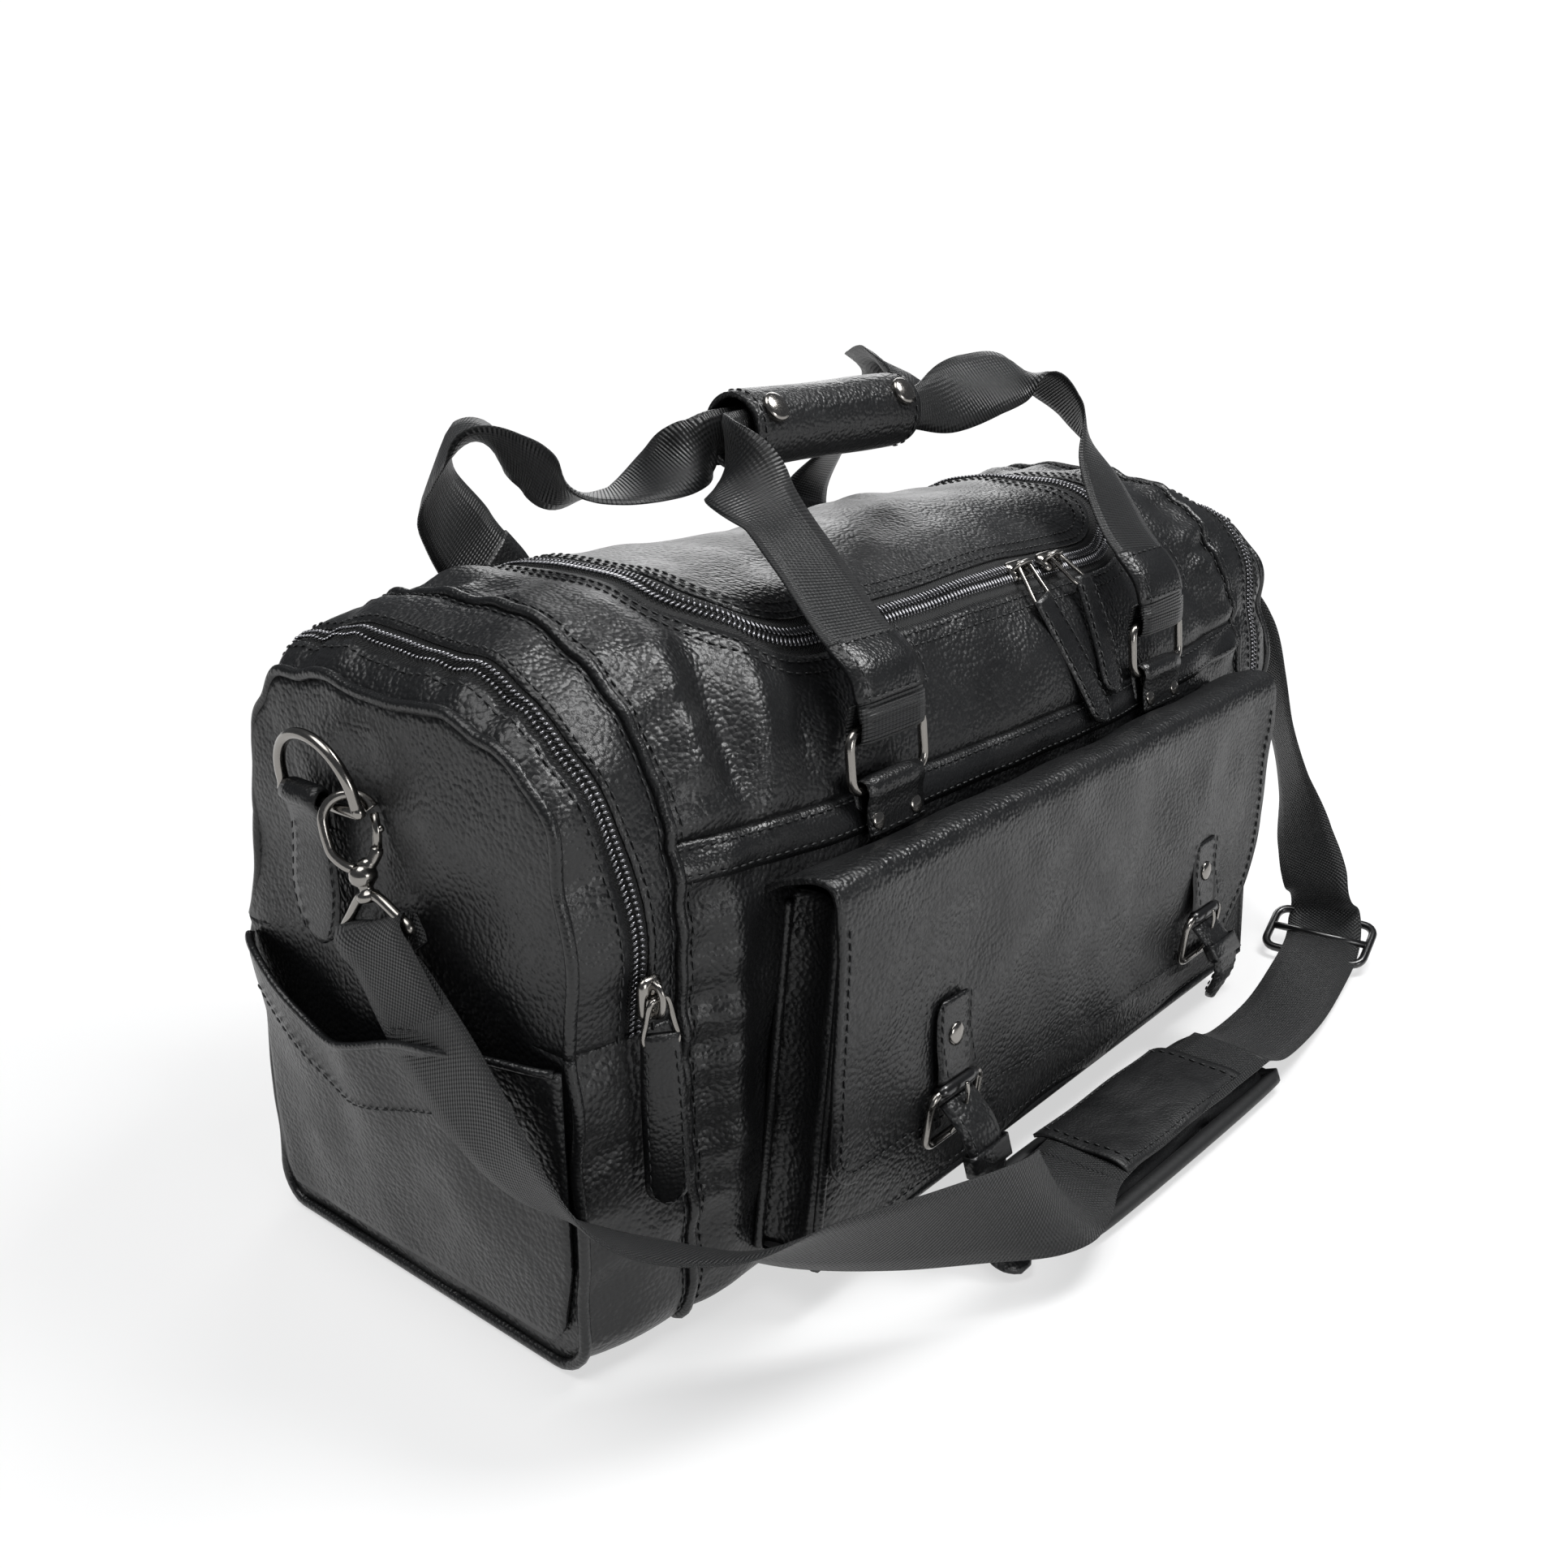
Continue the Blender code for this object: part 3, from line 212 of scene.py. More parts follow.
def makeStage():
    floor = bpy.data.objects.new("floor", bpy.data.meshes.new("floor"))
    floor.data.from_pydata([(-9, -9, -.0004), (9, -9, -.0004), (9, 9, -.0004), (-9, 9, -.0004)], [],
                           [(0, 1, 2, 3)])
    made, tree, shader = newFinish("paleFloor", "#f3f3f3", 0.75, **{"Specular_IOR_Level": 0.2})
    # it pales into the background a metre away, as a studio sweep does
    place = put(tree, "ShaderNodeTexCoord").outputs["Object"]
    far = put(tree, "ShaderNodeVectorMath", {"operation": "LENGTH"}, {0: place}).outputs["Value"]
    fade = put(tree, "ShaderNodeMapRange", {"interpolation_type": "SMOOTHSTEP"},
               {"Value": far, "From Min": 0.30, "From Max": 0.95, "To Min": 0.60, "To Max": 1.0})
    glow = put(tree, "ShaderNodeEmission", {}, {"Color": (1, 1, 1, 1), "Strength": 1.02})
    mixed = put(tree, "ShaderNodeMixShader", {},
                {0: fade.outputs[0], 1: shader.outputs[0], 2: glow.outputs[0]})
    tree.links.new(mixed.outputs[0], tree.nodes["Material Output"].inputs["Surface"])
    floor.data.materials.append(made)
    scene.collection.objects.link(floor)
    world = bpy.data.worlds.new("studio")
    scene.world = world
    world.use_nodes = True
    tree = world.node_tree
    tree.nodes.clear()
    seen = put(tree, "ShaderNodeBackground", {}, {"Color": (1, 1, 1, 1), "Strength": 1.05})
    fill = put(tree, "ShaderNodeBackground", {}, {"Color": colour("#f4f8ff"), "Strength": 0.13})
    which = put(tree, "ShaderNodeLightPath").outputs["Is Camera Ray"]
    mixed = put(tree, "ShaderNodeMixShader", {}, {0: which, 1: fill.outputs[0], 2: seen.outputs[0]})
    put(tree, "ShaderNodeOutputWorld", {}, {0: mixed.outputs[0]})
    lights = {"key": ("SUN", (-0.25, 0.10, 1.0), 1.7, 40),
              "overhead": ("AREA", (0.28, -0.40, 1.15), 11, 0.42),
              "window": ("AREA", (1.15, 1.05, 0.85), 8, 0.9), "front": ("AREA", (-0.30, -1.35, 0.45), 4, 0.4)}
    for name, (kind, place, power, size) in lights.items():
        data = bpy.data.lights.new(name, kind)
        data.energy = power
        if kind == "SUN":
            data.angle = math.radians(size)
        else:
            data.shape, data.size = "SQUARE", size
        lamp = bpy.data.objects.new(name, data)
        lamp.location = place
        lamp.rotation_euler = (Vector((0, 0, 0.1)) - Vector(place)).to_track_quat("-Z", "Y").to_euler()
        scene.collection.objects.link(lamp)


makeStage()

# ---- the bag's outline, as the frame has it, with the leather's slump on top
bag = {"length": .502, "endDepth": .196, "bulge": .014, "height": .254, "sideHeight": .130,
       "crownPower": 2.15, "endSquare": .85, "endDrop": .020, "corner": .020, "leather": .0020, "bodyX": .205,
       "foldZ": .124, "bandZ": .178, "lidX": .150, "lidFrontY": .071, "lidBackY": .066, "lidRadius": .046,
       "zipHalf": .009, "endZipX": .2345, "endZipLean": .010, "webbing": .038}
half = bag["length"] / 2


def halfDepth(x):
    return bag["endDepth"] / 2 + bag["bulge"] * (1 - (x / half) ** 2)


def arch(x, s):
    side, s = np.where(s <= 3, -1.0, 1.0), np.minimum(s, 6 - s)
    depth, top = halfDepth(x), bag["height"] - bag["endDrop"] * (x / half) ** 8
    power = 2 / (bag["crownPower"] + bag["endSquare"] * (x / half) ** 4)
    low, wall, high = (np.clip(s - k, 0, 1) * turn for k, turn in ((0, math.pi / 2), (1, 1),
                                                                   (2, math.pi / 2)))
    c, side0 = bag["corner"], bag["sideHeight"]
    y = np.where(s > 2, depth * np.clip(np.cos(high), 0, 1) ** power, depth - c + c * np.sin(low))
    z = np.where(s > 2, side0 + (top - side0) * np.sin(high) ** power,
                 c - c * np.cos(low) + wall * (side0 - c))
    return side * y, z


stepTable = np.linspace(0, 6, 2401)
outline = np.stack(arch(np.zeros(2401), stepTable), 1)
runTable = np.concatenate([[0], np.cumsum(np.linalg.norm(np.diff(outline, axis=0), axis=1))])
total = runTable[-1]
front = outline[:1201]
aFold = float(np.interp(bag["foldZ"], front[:, 1], runTable[:1201]))
aBand = float(np.interp(bag["bandZ"], front[:, 1], runTable[:1201]))
crownPart = (outline[:, 1] > bag["sideHeight"])
aFront = float(np.interp(-bag["lidFrontY"], outline[crownPart, 0], runTable[crownPart]))
aBack = float(np.interp(bag["lidBackY"], outline[crownPart, 0], runTable[crownPart]))


def waves(u, v, size, seed, count=8):
    rng = np.random.default_rng(seed)
    out = 0
    for _ in range(count):
        turn, phase, reach = rng.uniform(0, 6.283), rng.uniform(0, 6.283), size * rng.uniform(0.7, 1.6)
        out = out + np.sin(6.283 * (u * math.cos(turn) + v * math.sin(turn)) / reach + phase)
    return out / math.sqrt(count / 2)


def hump(t, centre, width):
    return np.exp(-((t - centre) / width) ** 2)


slump = {
    # x, run, length direction in degrees from X, half length, half width, height: single folds of the leather
    "folds": [(-.186, .232, 80, .034, .0075, .0045), (-.168, .226, 84, .038, .0070, -.0036),
              (-.150, .232, 72, .034, .0080, .0042), (-.132, .222, 66, .024, .0070, -.0026),
              (-.118, .214, 60, .022, .0080, .0022), (-.186, .105, 89, .060, .0085, .0050),
              (-.196, .120, 88, .060, .006, -.0028), (.186, .232, 100, .036, .008, .0036),
              (.168, .225, 96, .036, .007, -.0026), (.030, .360, 20, .060, .010, .0012),
              (-.060, .395, -15, .070, .012, .0016), (.080, .400, 10, .060, .012, -.0016)],
    # heights of the leather's waves, of the seams' pull and of the sags, in metres
    "broad": .0016, "fine": .0005, "pucker": .0011, "seamPull": .0016, "yokeCrush": .0014, "lidSag": .0040,
    "endDip": .0075, "endRise": .0070, "endWave": .0016,
    # how far the left end's back corner has slumped forward, by height
    "tuck": ((0, .16), (.03, .18), (.0875, .18), (.111, .11),
             (.168, .28), (.200, .27), (.225, .22), (.26, .15)),
}


def relief(x, a):
    x, a = np.broadcast_arrays(np.asarray(x, float), np.asarray(a, float))
    ax = np.abs(x)
    out = slump["broad"] * waves(x, a, .15, 3) + slump["fine"] * waves(x, a, .045, 5)
    for x0, a0, turn, long, wide, height in slump["folds"]:
        c, s = math.cos(math.radians(turn)), math.sin(math.radians(turn))
        u, v = (x - x0) * c + (a - a0) * s, -(x - x0) * s + (a - a0) * c
        out = out + height * np.exp(-(u / long) ** 2 - (v / wide) ** 2)
    # seams pull the leather in, so that it stands a little proud between them
    bands = (hump(a, aBand, .004) + hump(a, total - aBand, .004)) * (ax < .21)
    out = out - slump["seamPull"] * (hump(ax, bag["bodyX"], .005) + bands)
    # small puckers run in from the end seams
    near = hump(ax, bag["bodyX"] - .012, .016) + .45 * hump(ax, .240, .008)
    out = out + slump["pucker"] * waves(x * .25, a, .017, 9) * near
    # the yoke is crushed beside the end pockets
    yoke = hump(ax, .178, .030) * hump(np.minimum(a, total - a), .290, .060)
    out = out + slump["yokeCrush"] * waves(x, a * .22, .022, 12) * yoke
    # the lid sags between its seams
    lid = np.clip((a - aFront) / .05, 0, 1) * np.clip((aBack - a) / .05, 0, 1)
    out = out - slump["lidSag"] * np.clip(1 - (x / .16) ** 2, 0, 1) * lid
    # the ends' upper edge has dropped in the middle and stands up at the front corner
    end = hump(ax, .251, .022)
    out = out + end * (slump["endRise"] * hump(a, .222, .026) - slump["endDip"] * hump(a, .318, .050))
    out = out + slump["endWave"] * end * waves(a, x * 0, .055, 14, 4)
    # it ends flat on the floor
    return out * np.clip(np.minimum(a, total - a) / .03, 0, 1)


def tuck(points):
    k = np.interp(points[..., 2], *zip(*slump["tuck"])) * np.clip((-points[..., 0] - .185) / .066, 0,
                                                                  1) ** 1.5
    points[..., 1] = np.where(points[..., 1] > 0, points[..., 1] * (1 - k), points[..., 1])
    return points


def skin(x, a, lift=0.0, soft=True):
    x, a, lift = np.broadcast_arrays(np.asarray(x, float), np.asarray(a, float), np.asarray(lift, float))
    s = np.interp(np.clip(a, 0, total), runTable, stepTable)
    y, z = arch(x, s)
    y0, z0 = arch(x, np.maximum(s - .01, 0))
    y1, z1 = arch(x, np.minimum(s + .01, 6))
    ty, tz = y1 - y0, z1 - z0
    size = np.hypot(ty, tz)
    ty, tz = ty / size, tz / size
    h = lift + (relief(x, a) if soft else 0)
    return tuck(np.stack([x, y - tz * h, z + ty * h], -1))


def outAt(x, a):
    step = skin(x, a, .001, False) - skin(x, a, 0, False)
    return step / np.linalg.norm(step, axis=-1, keepdims=True)


def endZipX(a):
    t = np.clip((skin(np.zeros_like(a), a, 0, False)[..., 2] - .150) / .075, 0, 1)
    return bag["endZipX"] - bag["endZipLean"] * (1 - t * t * (3 - 2 * t))


# ---- mesh helpers
def meshPiece(name, points, faces, finish, body, stands=(), uvs=None, facing=None, solid=False):
    mesh = bpy.data.meshes.new(name)
    mesh.from_pydata(np.asarray(points).tolist(), [], faces)
    if uvs is not None:
        layer = mesh.uv_layers.new(name="weave")
        loops = np.zeros(len(mesh.loops), np.int32)
        mesh.loops.foreach_get("vertex_index", loops)
        layer.data.foreach_set("uv", np.asarray(uvs, np.float32)[loops].ravel())
    if solid:
        work = bmesh.new()
        work.from_mesh(mesh)
        bmesh.ops.recalc_face_normals(work, faces=work.faces)
        if work.calc_volume(signed=True) < 0:
            bmesh.ops.reverse_faces(work, faces=work.faces)
        work.to_mesh(mesh)
        work.free()
    elif facing is not None:
        normals = np.zeros(len(mesh.polygons) * 3)
        centres = np.zeros(len(mesh.polygons) * 3)
        mesh.polygons.foreach_get("normal", normals)
        mesh.polygons.foreach_get("center", centres)
        if (normals.reshape(-1, 3) * facing(centres.reshape(-1, 3))).sum() < 0:
            mesh.flip_normals()
    mesh.polygons.foreach_set("use_smooth", [True] * len(mesh.polygons))
    mesh.materials.append(finishes[finish])
    made = bpy.data.objects.new(name, mesh)
    scene.collection.objects.link(made)
    if body:
        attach(made, body)
    if stands:
        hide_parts(*stands)
    return made


def bake(made):
    mesh = bpy.data.meshes.new_from_object(made.evaluated_get(bpy.context.evaluated_depsgraph_get()))
    made.modifiers.clear()
    made.data = mesh
    return made


def away(centres):
    return centres * (.45, 1, 1) - (0, 0, .11)


def gridFaces(rows, cols, wrapCols=False, wrapRows=False):
    faces = []
    for i in range(rows if wrapRows else rows - 1):
        k = (i + 1) % rows
        for j in range(cols if wrapCols else cols - 1):
            m = (j + 1) % cols
            faces.append((i * cols + j, i * cols + m, k * cols + m, k * cols + j))
    return faces


def capped(rows, cols):
    # rings of points with both ends closed
    return gridFaces(rows, cols, True) + [tuple(range(cols))[::-1],
                                          tuple(range((rows - 1) * cols, rows * cols))]


def sheet(name, points, finish, body, thick=.0016, inner="lining", wrap=False, facing=away, **more):
    rows, cols = points.shape[:2]
    made = meshPiece(name, points.reshape(-1, 3), gridFaces(rows, cols, wrap), finish, body, facing=facing,
                     **more)
    if thick:
        made.data.materials.append(finishes[inner])
        made.data.materials.append(finishes[finish])
        wall = made.modifiers.new("wall", "SOLIDIFY")
        wall.thickness, wall.offset = thick, -1
        wall.material_offset, wall.material_offset_rim = 1, 2
    return made


def frames(path, closed, hint):
    path = np.asarray(path, float)
    along = np.roll(path, -1, 0) - np.roll(path, 1, 0) if closed else np.gradient(path, axis=0)
    along /= np.linalg.norm(along, axis=1)[:, None] + 1e-12
    side, sides = np.array(hint, float), []
    for t in along:
        side = side - t * (side @ t)
        side = side / (np.linalg.norm(side) + 1e-12)
        sides.append(side)
    sides = np.array(sides)
    return path, along, sides, np.cross(along, sides)


def tubeParts(path, radius, sides=10, closed=False, hint=(0.13, 0.21, 0.97), flat=1.0):
    path, along, side, up = frames(path, closed, hint)
    turn = np.linspace(0, 2 * math.pi, sides + 1)[:-1]
    radius = np.broadcast_to(np.asarray(radius, float), (len(path),))
    rings = path[:, None] + radius[:, None, None] * (np.cos(turn)[None, :, None] * side[:, None]
                                                      + flat * np.sin(turn)[None, :, None] * up[:, None])
    faces = gridFaces(len(path), sides, True, True) if closed else capped(len(path), sides)
    return rings.reshape(-1, 3), faces


def tube(name, path, radius, finish, body, stands=(), **shape):
    return meshPiece(name, *tubeParts(path, radius, **shape), finish, body, stands=stands, solid=True)


def joined(name, parts, finish, body, **more):
    points, faces, start = [], [], 0
    for p, f in parts:
        points.append(np.asarray(p))
        faces += [tuple(i + start for i in face) for face in f]
        start += len(p)
    return meshPiece(name, np.concatenate(points), faces, finish, body, solid=True, **more)


def smoothPath(keys, steps, closed=False):
    keys = np.asarray(keys, float)
    ext = np.concatenate([keys[-1:], keys, keys[:2]]) if closed else np.concatenate(
        [2 * keys[:1] - keys[1:2], keys, 2 * keys[-1:] - keys[-2:-1]])
    out = []
    for i in range(1, len(ext) - 2):
        b0, b1, b2, b3 = ext[i - 1:i + 3]
        for k in range(steps):
            t = k / steps
            out.append(.5 * (2 * b1 + (b2 - b0) * t + (2 * b0 - 5 * b1 + 4 * b2 - b3) * t * t
                             + (3 * b1 - b0 - 3 * b2 + b3) * t ** 3))
    return np.array(out) if closed else np.array(out + [ext[-2]])


def runOf(path):
    return np.concatenate([[0], np.cumsum(np.linalg.norm(np.diff(path[:, :3], axis=0), axis=1))])


def evenly(path, count):
    run = runOf(path)
    at = np.linspace(0, run[-1], count)
    return np.stack([np.interp(at, run, path[:, k]) for k in range(path.shape[1])], 1)


def ribbonParts(path, across, width, thick, cup=0.0, cells=6):
    path = np.asarray(path, float)
    count = len(path)
    along = np.gradient(path, axis=0)
    along /= np.linalg.norm(along, axis=1)[:, None] + 1e-12
    across = np.broadcast_to(np.asarray(across, float), path.shape)
    across = across - along * (across * along).sum(1)[:, None]
    across /= np.linalg.norm(across, axis=1)[:, None] + 1e-12
    face = np.cross(along, across)
    width = np.broadcast_to(np.asarray(width, float), (count,))
    thick = np.broadcast_to(np.asarray(thick, float), (count,))
    t = np.linspace(-1, 1, cells + 1)
    edge = np.clip(1 - np.abs(t) ** 8, .25, 1)
    run = runOf(path)
    rows, uvs = [], []
    for sign in (1, -1):
        order = t if sign > 0 else t[::-1]
        e = edge if sign > 0 else edge[::-1]
        lift = (cup * (1 - order ** 2))[None, :, None] + sign * thick[:, None, None] / 2 * e[None, :, None]
        rows.append(path[:, None] + across[:, None] * (order[None, :, None] * width[:, None, None] / 2)
                    + face[:, None] * lift)
        uvs.append(np.stack(np.broadcast_arrays(run[:, None], order[None, :] * width[:, None] / 2), -1))
    rings, uvs = np.concatenate(rows, 1), np.concatenate(uvs, 1)
    cols = rings.shape[1]
    faces = gridFaces(count, cols, True)
    for start in (0, (count - 1) * cols):
        for j in range(cells):
            quad = (start + j, start + j + 1, start + cols - 2 - j, start + cols - 1 - j)
            faces.append(quad)
    return rings.reshape(-1, 3), faces, uvs.reshape(-1, 2)


def ribbon(name, path, across, width, thick, finish, body, cup=0.0, **more):
    points, faces, uvs = ribbonParts(path, across, width, thick, cup)
    return meshPiece(name, points, faces, finish, body, uvs=uvs, solid=True, **more)


# ---- repeated small things: stitches and teeth follow lines laid on the leather
def repeatTree():
    tree = bpy.data.node_groups.new("repeatAlongLine", "GeometryNodeTree")
    names = {}
    for label, kind in (("line", "NodeSocketGeometry"), ("shape", "NodeSocketObject"),
                        ("spacing", "NodeSocketFloat"), ("size", "NodeSocketFloat"),
                        ("finish", "NodeSocketMaterial")):
        names[label] = tree.interface.new_socket(name=label, in_out="INPUT", socket_type=kind).identifier
    tree.interface.new_socket(name="pieces", in_out="OUTPUT", socket_type="NodeSocketGeometry")
    given = put(tree, "NodeGroupInput").outputs
    curve = put(tree, "GeometryNodeMeshToCurve", {}, {0: given["line"]})
    even = put(tree, "GeometryNodeResampleCurve", {"mode": "LENGTH"},
               {"Curve": curve.outputs[0], "Length": given["spacing"]})
    shape = put(tree, "GeometryNodeObjectInfo", {"transform_space": "ORIGINAL"}, {"Object": given["shape"]})
    out = put(tree, "GeometryNodeInputNamedAttribute", {"data_type": "FLOAT_VECTOR"}, {"Name": "out"})
    turn = put(tree, "FunctionNodeAxesToRotation", {"primary_axis": "Z", "secondary_axis": "X"},
               {0: out.outputs[0], 1: put(tree, "GeometryNodeInputTangent").outputs[0]})
    laid = put(tree, "GeometryNodeInstanceOnPoints", {},
               {"Points": even.outputs[0], "Instance": shape.outputs["Geometry"], "Rotation": turn.outputs[0],
                "Scale": given["size"]})
    real = put(tree, "GeometryNodeRealizeInstances", {}, {0: laid.outputs[0]})
    done = put(tree, "GeometryNodeSetMaterial", {},
               {"Geometry": real.outputs[0], "Material": given["finish"]})
    put(tree, "NodeGroupOutput", {}, {0: done.outputs[0]})
    return tree, names


repeater, repeaterInputs = repeatTree()
patterns = []


def shapeOf(name, points, faces):
    mesh = bpy.data.meshes.new(name)
    mesh.from_pydata(np.asarray(points).tolist(), [], faces)
    work = bmesh.new()
    work.from_mesh(mesh)
    bmesh.ops.recalc_face_normals(work, faces=work.faces)
    work.to_mesh(mesh)
    work.free()
    made = bpy.data.objects.new(name, mesh)
    scene.collection.objects.link(made)
    patterns.append(made)
    return made


def bar(length, width, height, rings=5, sides=6, bow=0.0, slant=0.0):
    t = np.linspace(-1, 1, rings)
    swell = np.sqrt(np.clip(1 - (np.abs(t) * .96) ** 3, .02, 1))
    turn = np.linspace(0, 2 * math.pi, sides + 1)[:-1]
    points = []
    for k, s in zip(t, swell):
        for a in turn:
            points.append((k * length / 2, width / 2 * s * math.cos(a) + slant * k * length / 2,
                           height / 2 * s * math.sin(a) + bow * (1 - k * k)))
    return np.array(points), capped(rings, sides)


def repeatAlong(name, lines, shape, spacing, finish, body):
    points, edges, outs = [], [], []
    for path, out in lines:
        start = len(points)
        points += np.asarray(path).tolist()
        outs += np.broadcast_to(out, np.asarray(path).shape).tolist()
        edges += [(start + i, start + i + 1) for i in range(len(path) - 1)]
    mesh = bpy.data.meshes.new(name + "Lines")
    mesh.from_pydata(points, edges, [])
    mesh.attributes.new("out", "FLOAT_VECTOR", "POINT").data.foreach_set("vector",
                                                                         np.asarray(outs, np.float32).ravel())
    work = bpy.data.objects.new(name + "Lines", mesh)
    scene.collection.objects.link(work)
    step = work.modifiers.new("repeat", "NODES")
    step.node_group = repeater
    for label, value in (("shape", shape), ("spacing", spacing), ("size", 1.0), ("finish", finishes[finish])):
        step[repeaterInputs[label]] = value
    bpy.context.view_layer.update()
    baked = bpy.data.meshes.new_from_object(work.evaluated_get(bpy.context.evaluated_depsgraph_get()))
    bpy.data.objects.remove(work, do_unlink=True)
    made = bpy.data.objects.new(name, baked)
    baked.polygons.foreach_set("use_smooth", [True] * len(baked.polygons))
    scene.collection.objects.link(made)
    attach(made, body)


stitchLines = {}


def stitch(body, path, out):
    stitchLines.setdefault(body, []).append((np.asarray(path), np.asarray(out, float)))


print("helpers ready")


def basis(out, along=(0.31, 0.17, 0.93)):
    out = np.asarray(out, float) / np.linalg.norm(out)
    along = np.asarray(along, float)
    along = along - out * (along @ out)
    along /= np.linalg.norm(along)
    return along, np.cross(out, along), out


def lathe(at, out, profile, steps=20):
    u, v, n = basis(out)
    turn = np.linspace(0, 2 * math.pi, steps + 1)[:-1]
    rings = [np.asarray(at) + n * h + r * (np.cos(turn)[:, None] * u + np.sin(turn)[:, None] * v)
             for r, h in profile]
    return np.concatenate(rings), capped(len(profile), steps)


def rivet(at, out, radius, height=0.35):
    steps = [(1, -.25), (1, .18), (.93, .42), (.75, .68), (.45, .9), (.12, 1)]
    return lathe(at, out, [(r * radius, h * radius * height) for r, h in steps])


def roundedLoop(wide, tall, radius, steps=5):
    out = []
    for cx, cy, start in ((1, -1, -90), (1, 1, 0), (-1, 1, 90), (-1, -1, 180)):
        for k in range(steps + 1):
            a = math.radians(start + 90 * k / steps)
            out.append((cx * (wide / 2 - radius) + radius * math.cos(a),
                        cy * (tall / 2 - radius) + radius * math.sin(a)))
    return np.array(out)


def closedEven(points, count):
    points = np.asarray(points, float)
    return evenly(np.concatenate([points, points[:1]]), count + 1)[:-1]


def onSkin(body, xa, lift=.0003):
    xa = np.asarray(xa, float)
    stitch(body, skin(xa[:, 0], xa[:, 1], lift), outAt(xa[:, 0], xa[:, 1]))


# ---- body of the bag
shell = {"cell": .0030, "piping": .0022, "bandWide": .0140, "bandLift": .0013, "stitchIn": .0045}


def skinGrid(x0, x1, a0, a1, lift=0.0, cell=shell["cell"]):
    x = np.linspace(x0, x1, int(abs(x1 - x0) / cell) + 3)
    a = np.linspace(a0, a1, int(abs(a1 - a0) / cell) + 3)
    return skin(x[None, :], a[:, None], lift)


bodyX, zipHalf = bag["bodyX"], bag["zipHalf"]
sheet("frontPanel", skinGrid(-bodyX, bodyX, 0, aBand), "hide", "shell", stands=("front_panel",))
sheet("backPanel", skinGrid(-bodyX, bodyX, total - aBand, total), "hide", "shell", stands=("back_panel",))
floorX = np.linspace(-bodyX, bodyX, 60)
floorRows = np.linspace(-1, 1, 30)[:, None] * (halfDepth(floorX) - bag["corner"])[None, :]
sheet("bottomPanel", np.stack(np.broadcast_arrays(floorX[None, :], floorRows, .0002), -1), "hide", "shell",
      stands=("bottom_panel",), facing=lambda c: c * 0 + (0, 0, -1))


def zipLoop(offset, spacing=.003):
    wide, radius, start = bag["lidX"] + offset, bag["lidRadius"] + offset, aFront - offset
    turn = np.linspace(0, math.pi / 2, 13)
    left = np.stack([-wide + radius - radius * np.cos(turn), start + radius - radius * np.sin(turn)], 1)
    right = (left * (-1, 1))[::-1]
    path = np.concatenate([[(-wide, aBack)], left, right, [(wide, aBack)]])
    return evenly(path, int(runOf(path)[-1] / spacing))


def yokeGrid():
    hole = zipLoop(zipHalf, .001)
    n = len(hole)
    wide, radius, start = bag["lidX"] + zipHalf, bag["lidRadius"] + zipHalf, aFront - zipHalf
    bend = radius * (1 - math.sqrt(.5))
    k = int(np.argmin(np.hypot(hole[:, 0] + wide - bend, hole[:, 1] - start - bend)))
    low, high = aBand, total - aBand
    inner = [evenly(hole[k:n - k], 140), evenly(hole[n - k - 1:], 70),
             evenly(np.array([(wide, aBack), (-wide, aBack)]), 110), evenly(hole[:k + 1], 70)]
    outer = [evenly(np.array(pair, float), len(line)) for pair, line in zip(
        (((-bodyX, low), (bodyX, low)), ((bodyX, low), (bodyX, high)), ((bodyX, high), (-bodyX, high)),
         ((-bodyX, high), (-bodyX, low))), inner)]
    inner, outer = (np.concatenate([line[:-1] for line in lines]) for lines in (inner, outer))
    t = np.linspace(0, 1, 24)[:, None, None]
    xa = inner[None] * (1 - t) + outer[None] * t
    return skin(xa[..., 0], xa[..., 1])


sheet("yoke", yokeGrid(), "hide", "shell", wrap=True, stands=("yoke",))


def lidGrid():
    wide, radius, start = bag["lidX"] - zipHalf, bag["lidRadius"] - zipHalf, aFront + zipHalf
    turn = np.linspace(0, math.pi / 2, 14)
    a = np.concatenate([start + radius * (1 - np.cos(turn)), np.linspace(start + radius, aBack, 34)[1:]])
    w = np.concatenate([wide - radius + radius * np.sin(turn), np.full(33, wide)])
    x = w[:, None] * np.linspace(-1, 1, 96)[None, :]
    return skin(x, a[:, None])


sheet("lidPanel", lidGrid(), "hide", "lid", stands=("lid_panel",))

band = shell["bandWide"]
for label, low, high in (("Front", aBand - band, aBand), ("Back", total - aBand, total - aBand + band)):
    rows = np.linspace(low - .0004, high + .0004, 9)
    edge = np.clip(1 - np.abs(np.linspace(-1, 1, 9)) ** 6, .1, 1) * shell["bandLift"]
    across = np.linspace(-bodyX, bodyX, 150)
    sheet("band" + label, skin(across[None, :], rows[:, None], edge[:, None]), "rolled", "shell", thick=.001)
    for row in (low + .0022, high - .0022):
        line = np.linspace(-bodyX + .003, bodyX - .003, 160)
        onSkin("shell", np.stack([line, np.full(160, row)], 1), shell["bandLift"] + .0003)

